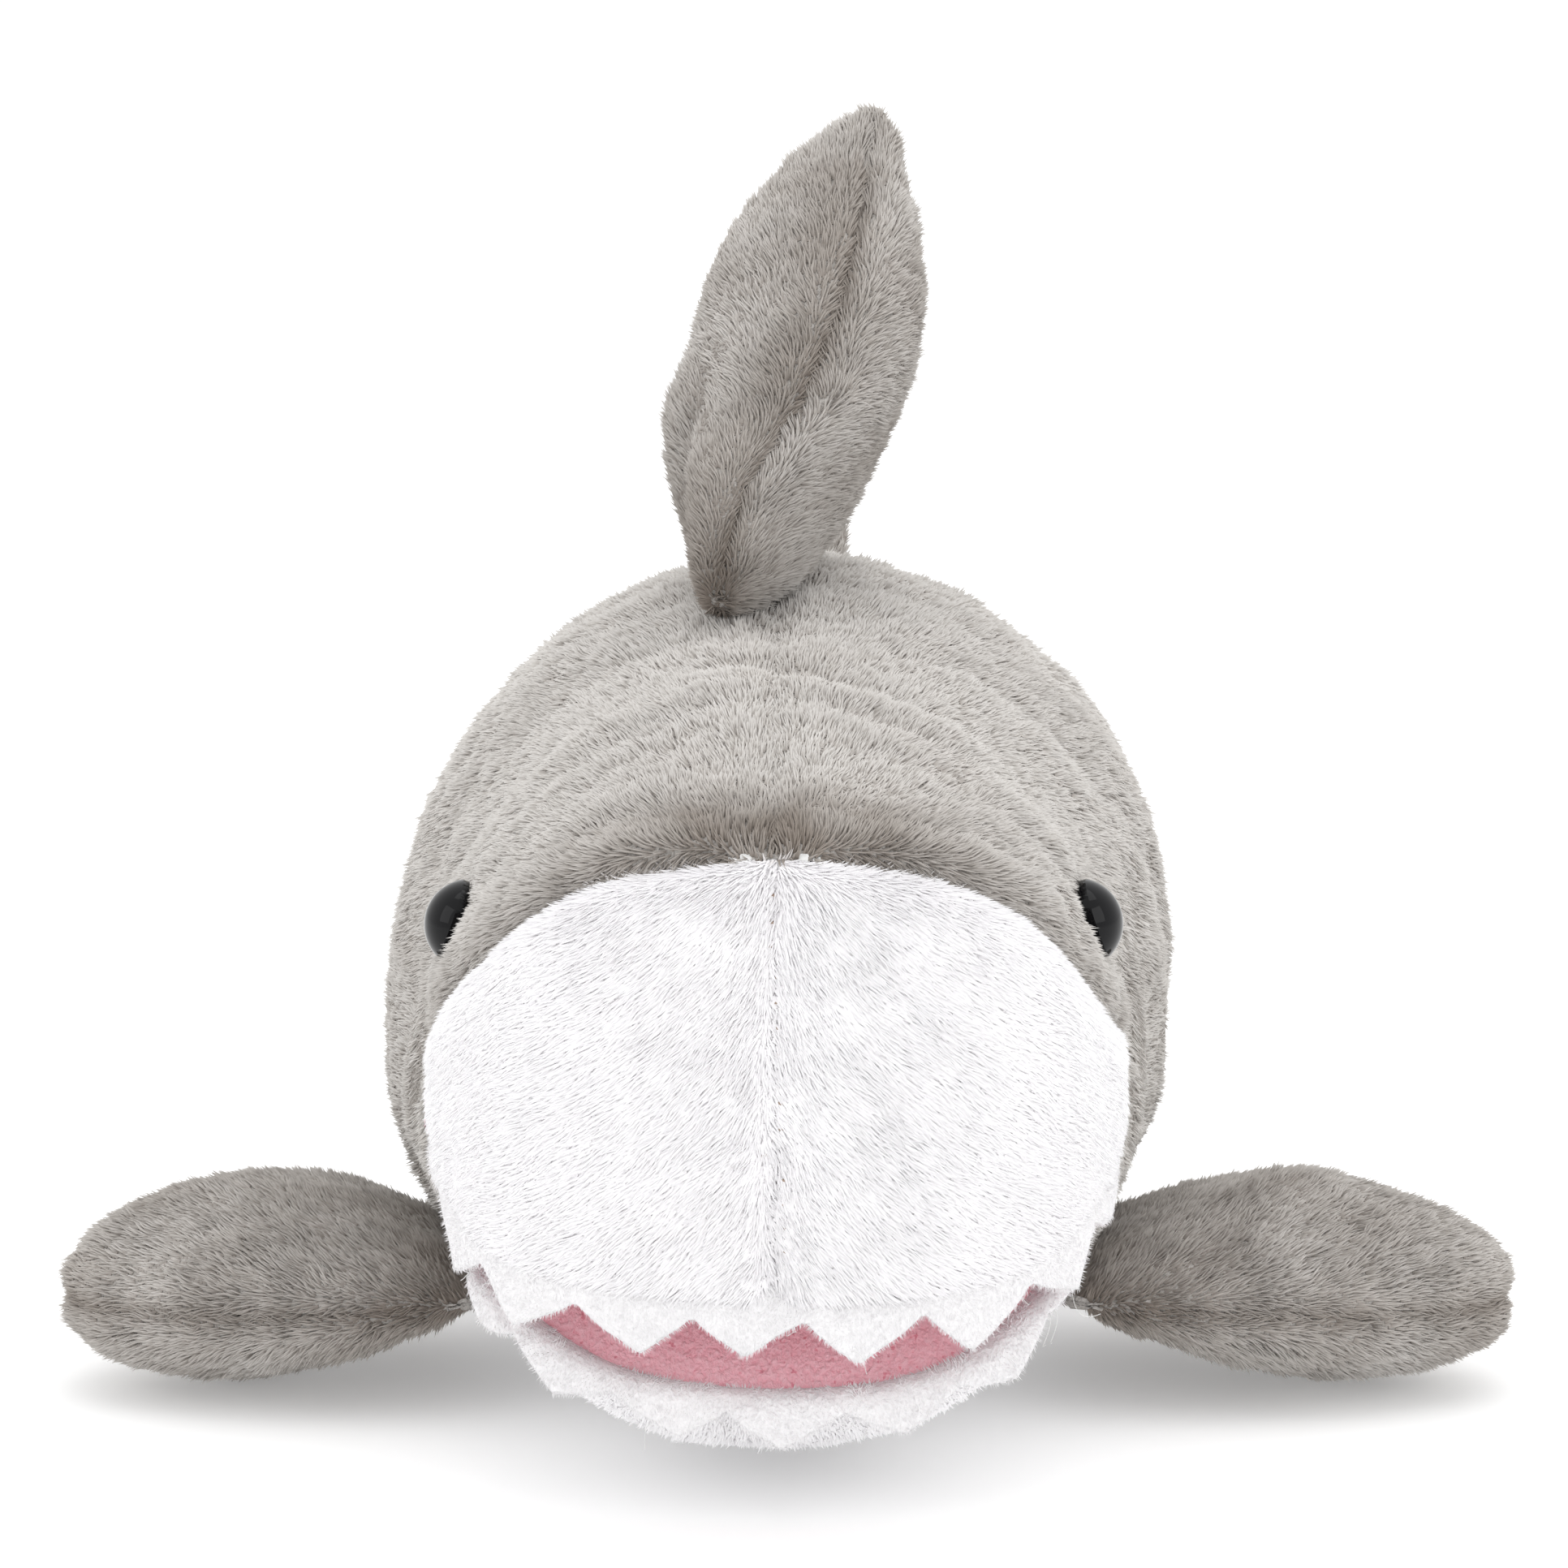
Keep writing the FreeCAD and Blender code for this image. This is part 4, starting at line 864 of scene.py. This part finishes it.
def make_fin(body, rings, place, panels, flow, per_mm2, length, shade, relief=edge_gather, bend=straight):
    """The two panels of a fin with their pile, bent over the joint to the body, and its filling."""
    pile_material, backing, slot = GREY
    whole = fin_form(rings, relief)
    back = np.linalg.inv(np.array(place))
    turn = np.array(place.to_3x3())

    def local(points):
        inside = (np.c_[points, np.ones(len(points))] @ back.T)[:, :3] / MM
        return inside - bend(inside)

    def comb(points, normals):
        inside = local(points)
        lift = 0.4 + 0.25 * field(inside, 12.0, 10)
        return laid(flow(inside) @ turn.T, normals, lift[:, None])

    for sign, node in panels:
        form = whole.copy()
        drop = [face for face in form.faces if face.calc_center_median().x * sign < 0]
        bmesh.ops.delete(form, geom=drop, context="FACES")
        skin = fin_mesh(f"{node}_skin", form, place, bend)
        comb_skin(
            skin, comb,
            lambda points: MM * (length + 0.4 * field(local(points), 9.0, 11)),
            lambda points: np.ones(len(points)),
            # the fin's painted shade, with random tone
            lambda points: np.clip(0.84 * shade(local(points)), 0, 0.9))
        pile = grow_pile(f"{node}_pile", skin, pile_material, per_mm2, FIN_LOCK_THICK, next(SEEDS))
        thicken(skin, SKIN_THICK)
        skin.data.materials.append(backing)
        for piece in (skin, pile):
            sew(piece, body, slot)
        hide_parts(node)
    low, high = rings[0][0].z + FILLING_START, rings[-1][0].z - FILLING_END
    inner = loft([shrunk(ring, FILLING_SHARE, (0, 0, 0)) for ring in rings if low < ring[0].z < high])
    filling = fin_mesh(f"{body}_filling", inner, place, bend)
    filling.data.materials.append(LOOSE_FIBRE)
    sew(filling, body, "filling")
    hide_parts(f"{body}_stuffing")


FIN_LOCK_THICK = 0.55
FILLING_SHARE, FILLING_START, FILLING_END = 0.72, 13.0, 13.0


def outwards_flow(inside):
    return np.stack([inside[:, 0] * 0, 0.55 + 0 * inside[:, 1], 0.85 + 0 * inside[:, 2]], 1)


def dorsal_flow(inside):
    x, y, z = inside.T
    return np.stack([x * 0, np.full_like(x, 0.75), np.interp(z, [0, 30, 70], [0.9, 0.1, 0.4])], 1)


# how far the fin's middle and its front seam hang to the side, at shares of its span
BEND_SHARES = (0.0, 0.10, 0.22, 0.33, 0.41, 0.61, 0.80, 0.90, 1.0)
MIDDLE_BEND = (-1.6, -2.2, -2.4, -2.2, -1.9, -1.9, -1.0, -0.2, 1.6)
SEAM_BEND = (-8.0, -8.6, -7.6, -3.8, -0.8, 2.0, 3.0, 3.0, 2.6)
DORSAL_SPAN, DORSAL_CHORD = 69.4, 64.0


def dorsal_bend(points):
    """The fin hangs to one side, and its foot follows the curve of the back."""
    x, y, z = points.T
    share = z / DORSAL_SPAN
    middle = np.interp(share, BEND_SHARES, MIDDLE_BEND)
    seam = np.interp(share, BEND_SHARES, SEAM_BEND)
    shares = [row[0] for row in DORSAL]
    front = np.interp(share, shares, [row[1] for row in DORSAL]) * DORSAL_CHORD
    rear = np.interp(share, shares, [row[2] for row in DORSAL]) * DORSAL_CHORD
    ahead = np.clip(1 - 2 * (y - front) / (rear - front), 0, 1)
    ends = 5.5 * np.clip(1 - y / 26, 0, 1) ** 1.5 + 2.5 * np.clip((y - 40) / 24, 0, 1)
    foot = np.clip(1 - share / 0.6, 0, 1.1) * ends
    return np.stack([middle + (seam - middle) * ahead ** 1.5, np.zeros_like(x), -foot], 1)


def dorsal_relief(points):
    """The edge seam, and the loose lobe of fabric that folds over at the foot of the right side."""
    x, y, z = points.T
    right = np.clip(-x / 3, 0, 1) * np.clip((29 - z) / 9, 0, 1)
    line = y - 15.0 - 0.25 * z
    lobe = -2.4 * np.exp(-(line / 2.2) ** 2) + 3.0 * np.exp(-((line - 9) / 7.0) ** 2)
    return edge_gather(points) - 0.8 * np.exp(-(x / 1.6) ** 2) * (z > 4) + right * lobe


# Painted shade on the dorsal fin: the whole fin darker, as an upright fin gets less of the top light, deeper along
# the front of its edge seam and at its root, with random tone.
def dorsal_painted_shade_and_tone(inside):
    x, y, z = inside.T
    seam = 0.5 * np.exp(-(x / 1.8) ** 2) + 0.3 * np.exp(-((x + 4) / 4.5) ** 2)
    return 0.32 + seam * (y < 40) + 0.14 * np.exp(-(z / 16) ** 2) + 0.35 * field(inside, 14.0, 13)


# Painted shade on the pectoral and tail fins: darker all over, deeper at the root where the fin meets the body and
# along the edge seam, with random tone.
def pectoral_painted_shade_and_tone(inside):
    x, y, z = inside.T
    return 0.34 + 0.4 * np.exp(-(z / 14) ** 2) + 0.3 * field(inside, 14.0, 14) + 0.4 * np.exp(-(x / 1.8) ** 2)


make_fin(
    "dorsal_fin", fin_rings(DORSAL, DORSAL_SPAN, DORSAL_CHORD, 34.0), dorsal_frame(),
    [(LEFT, "dorsal_fin_left"), (RIGHT, "dorsal_fin_right")],
    dorsal_flow, 4.2, 2.5, dorsal_painted_shade_and_tone, dorsal_relief, dorsal_bend)
PECTORAL_SPAN = {LEFT: 64.0, RIGHT: 60.0}
for side in (LEFT, RIGHT):
    place = pectoral_frame(side)
    top = 1 if (place.to_3x3() @ Vector((1, 0, 0))).z > 0 else -1
    name = SIDE[side]
    make_fin(
        f"{name}_fin", fin_rings(PECTORAL, PECTORAL_SPAN[side], 62.0, 29.5), place,
        [(top, f"{name}_fin_top"), (-top, f"{name}_fin_bottom")],
        outwards_flow, 3.8, 2.5, pectoral_painted_shade_and_tone)

TAIL_LOW, TAIL_HIGH, TAIL_REACH = 12.0, 132.0, 42.0
STOCK_UP = JOINTS["tail_fin_sway"]["pos_m"][2] / MM
make_fin(
    "tail_fin", fin_rings(
        [(share, front / 0.99, rear / 0.99, deep) for share, front, rear, deep in TAIL],
        TAIL_HIGH - TAIL_LOW, TAIL_REACH, 23.0, low=TAIL_LOW - STOCK_UP), tail_frame(),
    [(LEFT, "tail_fin_left"), (RIGHT, "tail_fin_right")],
    outwards_flow, 2.0, 2.8, pectoral_painted_shade_and_tone)

# ---------------------------------------------------------------- felt linings of the mouth

def lip_line(neighbours):
    """Where the open mouth meets the neighbouring panels, from the right corner to the left one."""
    verts = set()
    for edge in body_form.edges:
        panels = {face_panels[face.index] for face in edge.link_faces}
        if "mouth" in panels and panels & neighbours:
            verts.update(edge.verts)
    ordered = sorted(verts, key=lambda vert: math.atan2(vert.co.x, CHEEK_ALONG + 1 - vert.co.y))
    line = np.array([vert.co for vert in ordered])
    steps = np.r_[0, np.cumsum(np.linalg.norm(np.diff(line, axis=0), axis=1))]
    shares = np.linspace(0, steps[-1], 121)
    line = np.stack([np.interp(shares, steps, column) for column in line.T], 1)
    for _ in range(6):
        line[1:-1] = (line[:-2] + 2 * line[1:-1] + line[2:]) / 4
    return line


def on_lip(line, share):
    """The point of a lip at a share of its length, and the level way out of the mouth there."""
    place = share * (len(line) - 1)
    spot, ahead, behind = (
        np.array([np.interp(place + step, range(len(line)), column) for column in line.T])
        for step in (0, 1.5, -1.5))
    run = ahead - behind
    out = np.array((run[1], -run[0], 0.0))
    return spot, out / np.linalg.norm(out)


UPPER_LIP, LOWER_LIP = lip_line({"snout_left", "snout_right"}), lip_line({"belly"})


def lining(name, node, line, swell, proud):
    """Felt laid from a lip back to the line between the mouth corners, swelling into the mouth."""
    form = bmesh.new()
    bmesh.ops.create_grid(form, x_segments=84, y_segments=24, size=1.0)
    for vert in form.verts:
        across, back = 0.01 + 0.49 * (vert.co.x + 1), (vert.co.y + 1) / 2
        spot, out = on_lip(line, across)
        spot = spot + out * proud
        behind = np.array((spot[0], CHEEK_ALONG + 0.5, CORNER_UP))
        place = spot + (behind - spot) * back
        place[2] += swell * math.sin(math.pi * min(back * 1.3, 1)) * (1 - (2 * across - 1) ** 2)
        place[2] += 0.7 * noise.noise(Vector(place) / 9.0) * back
        vert.co = place
    if swell < 0:
        bmesh.ops.reverse_faces(form, faces=form.faces)
    to_row(form)
    piece = mesh_object(name, form)
    thicken(piece, 1.2)
    piece.data.materials.append(PINK_FELT)
    on_body(piece, "pink_felt", node)


# ---------------------------------------------------------------- felt teeth

def drooped(angles, start):
    """How far out and down a strip is after each tenth of a millimetre, leaving at these angles in turn."""
    run = np.radians(np.interp(np.arange(0, 14, 0.1), range(len(angles)), angles))
    out, down = (np.r_[0, np.cumsum(part) * 0.1] for part in (np.cos(run), np.sin(run)))
    return start[0] + out, start[1] + down


def strays(name, roots, chooser):
    """Loose fibres that curl off a cut edge."""
    threads = bmesh.new()
    for root in roots:
        way = Vector((chooser.uniform(-1, 1), chooser.uniform(-1.2, 0), chooser.uniform(-1, 0.1))).normalized()
        side, long = way.orthogonal().normalized(), chooser.uniform(2.5, 6.0) * MM
        curl, phase = chooser.uniform(0.1, 0.35), chooser.uniform(0, 6)
        rings = []
        for step in range(12):
            share = step / 11
            core = root + way * (long * share)
            core += UP * (long * curl * (math.sin(4 * share + phase) - math.sin(phase)))
            core += side * (long * curl * (math.cos(5 * share + phase) - math.cos(phase)))
            rings.append([
                core + (side * math.cos(turn) + way.cross(side) * math.sin(turn)) * STRAY_THICK * MM / 2
                for turn in (0, 2 * math.pi / 3, 4 * math.pi / 3)])
        add_form(threads, loft(rings))
    piece = mesh_object(name, threads)
    piece.data.materials.append(LOOSE_FIBRE)
    on_body(piece, "white_felt")


STRAY_THICK = 0.12


def add_form(whole, form):
    """Adds a finished form to another one."""
    single = bpy.data.meshes.new("single")
    form.to_mesh(single)
    form.free()
    whole.from_mesh(single)
    bpy.data.meshes.remove(single)


def felt_teeth(name, node, line, limits, angles, start, sewn, band, tooth, count, shift, seed):
    """A strip of felt sewn along a lip between two shares of its length and cut into teeth."""
    chooser = random.Random(seed)
    talls = [chooser.uniform(0.84, 1.08) for _ in range(count + 2)]
    peaks = [chooser.uniform(0.40, 0.60) for _ in range(count + 2)]
    outs, downs = drooped(angles, start)
    form = bmesh.new()
    bmesh.ops.create_grid(form, x_segments=20 * count, y_segments=12, size=1.0)
    for vert in form.verts:
        along, down = (vert.co.x + 1) / 2, (vert.co.y + 1) / 2
        share = limits[0] + (limits[1] - limits[0]) * along
        spot, out = on_lip(line, share)
        number, part = divmod(along * count + shift, 1)
        number = int(number)
        rise = min(part / peaks[number], (1 - part) / (1 - peaks[number]))
        ends = min(1, 9 * along, 9 * (1 - along)) ** 0.7
        reach = sewn + (band + tooth * talls[number] * rise ** 0.92) * (0.3 + 0.7 * ends)
        place = 10 * reach * down
        drift = 0.55 * noise.noise(Vector((share * 23, reach * down / 4, seed))) * down * (1 + 0.6 * rise)
        where = spot + out * (np.interp(place, range(len(outs)), outs) + drift)
        where[2] -= np.interp(place, range(len(downs)), downs)
        vert.co = where
    to_row(form)
    piece = mesh_object(name, form)
    low = min(vert.co.z for vert in piece.data.vertices)
    cut_edge = list(piece.data.vertices)[(20 * count + 1) * 12:]
    rim = [vert.co.copy() for vert in cut_edge if vert.co.z < low + 0.02]
    tips = chooser.sample(rim, min(10, len(rim)))
    thicken(piece, 1.0)
    comb_skin(
        piece, lambda points, normals: normals + 0.7 * np.array((0, 0, -1.0)),
        lambda points: np.full(len(points), 0.9 * MM), lambda points: np.ones(len(points)),
        lambda points: np.zeros(len(points)))
    fuzz = grow_pile(f"{name}_fuzz", piece, FELT_FUZZ, 5.0, 0.13, seed, tangle=1.2)
    piece.data.materials.append(WHITE_FELT)
    on_body(piece, "white_felt", node)
    on_body(fuzz, "white_felt")
    strays(f"{name}_strays", tips, chooser)


# ---------------------------------------------------------------- filling and seam thread

def body_filling():
    """Loose fibre that fills the body, drawn back behind the linings where the mouth opens."""
    form = body_form.copy()
    form.faces.ensure_lookup_table()
    form.faces.index_update()
    mouth = {vert for face, panel in zip(form.faces, face_panels) if panel == "mouth" for vert in face.verts}
    relieve(form, lambda points: np.full(len(points), -1.2))
    between = (PALATE_SLOPE + FLOOR_SLOPE) / 2
    for vert in mouth:
        slope = (CORNER_UP - vert.co.z) / max(CHEEK_ALONG - vert.co.y, 0.5)
        slope = min(max(slope, PALATE_SLOPE), FLOOR_SLOPE)
        wall, gap = (PALATE_SLOPE, 2.2) if slope < between else (FLOOR_SLOPE, -2.2)
        back = abs(slope - wall) / abs(between - wall)
        vert.co.y += (CHEEK_ALONG + 2 - vert.co.y) * back
        vert.co.z = CORNER_UP - wall * (CHEEK_ALONG - vert.co.y) + gap
        vert.co.x *= 0.97
    to_row(form)
    piece = mesh_object("body_filling", form)
    piece.data.materials.append(LOOSE_FIBRE)
    on_body(piece, "filling", "body_stuffing")


def stitch_places(node):
    """The middle and direction of every separate stitch of a CAD node."""
    form = bmesh.new()
    form.from_mesh(frame["nodes"][node].data)
    bmesh.ops.remove_doubles(form, verts=form.verts, dist=1e-6)
    places, seen = [], set()
    for first in form.verts:
        if first in seen:
            continue
        seen.add(first)
        group, queue = [first], [first]
        while queue:
            for edge in queue.pop().link_edges:
                for vert in edge.verts:
                    if vert not in seen:
                        seen.add(vert)
                        group.append(vert)
                        queue.append(vert)
        middle = sum((vert.co for vert in group), Vector()) / len(group)
        far = max(group, key=lambda vert: (vert.co - middle).length)
        places.append((middle, (far.co - middle).normalized()))
    form.free()
    return places


def seam_thread(node, skins, slot, material, long, thick, sunk):
    """The stitches of one seam, bent down into the fabric at both ends."""
    trees = [BVHTree.FromObject(skin, bpy.context.evaluated_depsgraph_get()) for skin in skins]
    thread = bmesh.new()
    for middle, across in stitch_places(node):
        spot, outwards, _, _ = min((tree.find_nearest(middle) for tree in trees), key=lambda hit: hit[3])
        if outwards.dot(middle - spot) < 0:
            outwards = -outwards
        across = (across - outwards * across.dot(outwards)).normalized()
        beside = outwards.cross(across)
        rings = []
        for out in (-1.0, -0.75, -0.4, 0.0, 0.4, 0.75, 1.0):
            core = spot + across * (out * long * MM / 2) - outwards * (sunk + 0.5 * out * out) * MM
            rings.append([
                core + (beside * math.cos(turn) + outwards * math.sin(turn)) * thick * MM / 2
                for turn in (math.pi * step / 3 for step in range(6))])
        add_form(thread, loft(rings))
    piece = mesh_object(f"{node}_thread", thread)
    piece.data.materials.append(material)
    on_body(piece, slot, node)


FELT_FUZZ = plush_pile(
    "felt_fuzz", (0.84, 0.83, 0.84), (0.90, 0.89, 0.90), (0.93, 0.92, 0.93), (0.90, 0.89, 0.90))
lining("palate_felt", "palate_lining", UPPER_LIP, -0.9, -1.8)
lining("mouth_floor_felt", "mouth_floor_lining", LOWER_LIP, 0.9, 0.2)
felt_teeth(
    "upper_teeth_felt", "upper_teeth", UPPER_LIP, (0.03, 0.97), (78, 78, 80, 84, 88, 90, 90, 88, 84, 80, 76, 76),
    (-1.3, -1.4), 1.6, 2.7, 6.6, 9, 0.22, 21)
felt_teeth(
    "lower_teeth_felt", "lower_teeth", LOWER_LIP, (0.19, 0.80), (-22, -12, 16, 50, 74, 84, 86, 84, 80, 78, 76, 76),
    (-1.6, -0.4), 2.2, 2.4, 5.0, 6, 0.35, 22)
body_filling()
panel_skins = [bpy.data.objects[f"{node}_skin"] for node in PANELS]
for node, slot, material, long, thick, sunk in (
        ("snout_seam_stitches", "white_thread", SEAM_THREAD, 1.7, 0.5, 0.0),
        ("back_seam_stitches", "grey_thread", GREY_THREAD, 1.8, 0.40, 0.15),
        ("left_belly_seam_stitches", "grey_thread", GREY_THREAD, 2.0, 0.45, 0.1),
        ("right_belly_seam_stitches", "grey_thread", GREY_THREAD, 2.0, 0.45, 0.1)):
    seam_thread(node, panel_skins, slot, material, long, thick, sunk)

# ---------------------------------------------------------------- CAD nodes that stay

for side in SIDE.values():
    for node, material in ((f"{side}_eye", EYE_BLACK), (f"{side}_eye_washer", WASHER_PLASTIC)):
        mesh = frame["nodes"][node].data
        mesh.materials.clear()
        mesh.materials.append(material)

# ---------------------------------------------------------------- floor and lights

floor_form = bmesh.new()
bmesh.ops.create_grid(floor_form, x_segments=8, y_segments=8, size=60.0)
floor = mesh_object("floor", floor_form)
floor_material, _, _, floor_shader = new_material("floor_white")
floor_shader.inputs["Base Color"].default_value = (0.86, 0.86, 0.86, 1)
# painted light: the floor glows faintly, lifting the shadows on it and lighting the shark's underside though it is no
# lamp
floor_shader.inputs["Emission Color"].default_value = (1, 1, 1, 1)
floor_shader.inputs["Emission Strength"].default_value = 0.22
floor_shader.inputs["Roughness"].default_value = 0.9
floor.data.materials.append(floor_material)

world = bpy.data.worlds.new("studio")
bpy.context.scene.world = world
world.use_nodes = True
world.node_tree.nodes["Background"].inputs["Color"].default_value = (1, 1, 1, 1)
world.node_tree.nodes["Background"].inputs["Strength"].default_value = 1.05


def soft_light(name, place, aim, size, power):
    data = bpy.data.lights.new(name, "AREA")
    data.shape = "RECTANGLE"
    data.size, data.size_y = size
    data.energy = power
    lamp = bpy.data.objects.new(name, data)
    bpy.context.scene.collection.objects.link(lamp)
    lamp.location = place
    lamp.rotation_euler = (Vector(aim) - Vector(place)).to_track_quat("-Z", "Y").to_euler()


soft_light("top_light", (0.1, -0.1, 1.5), (0, 0, 0.05), (1.4, 1.4), 5.5)
soft_light("left_light", (1.3, -0.9, 0.8), (0, -0.05, 0.08), (0.8, 1.0), 2.6)
soft_light("right_light", (-1.4, -0.7, 0.8), (0, -0.05, 0.08), (0.8, 1.0), 2.2)
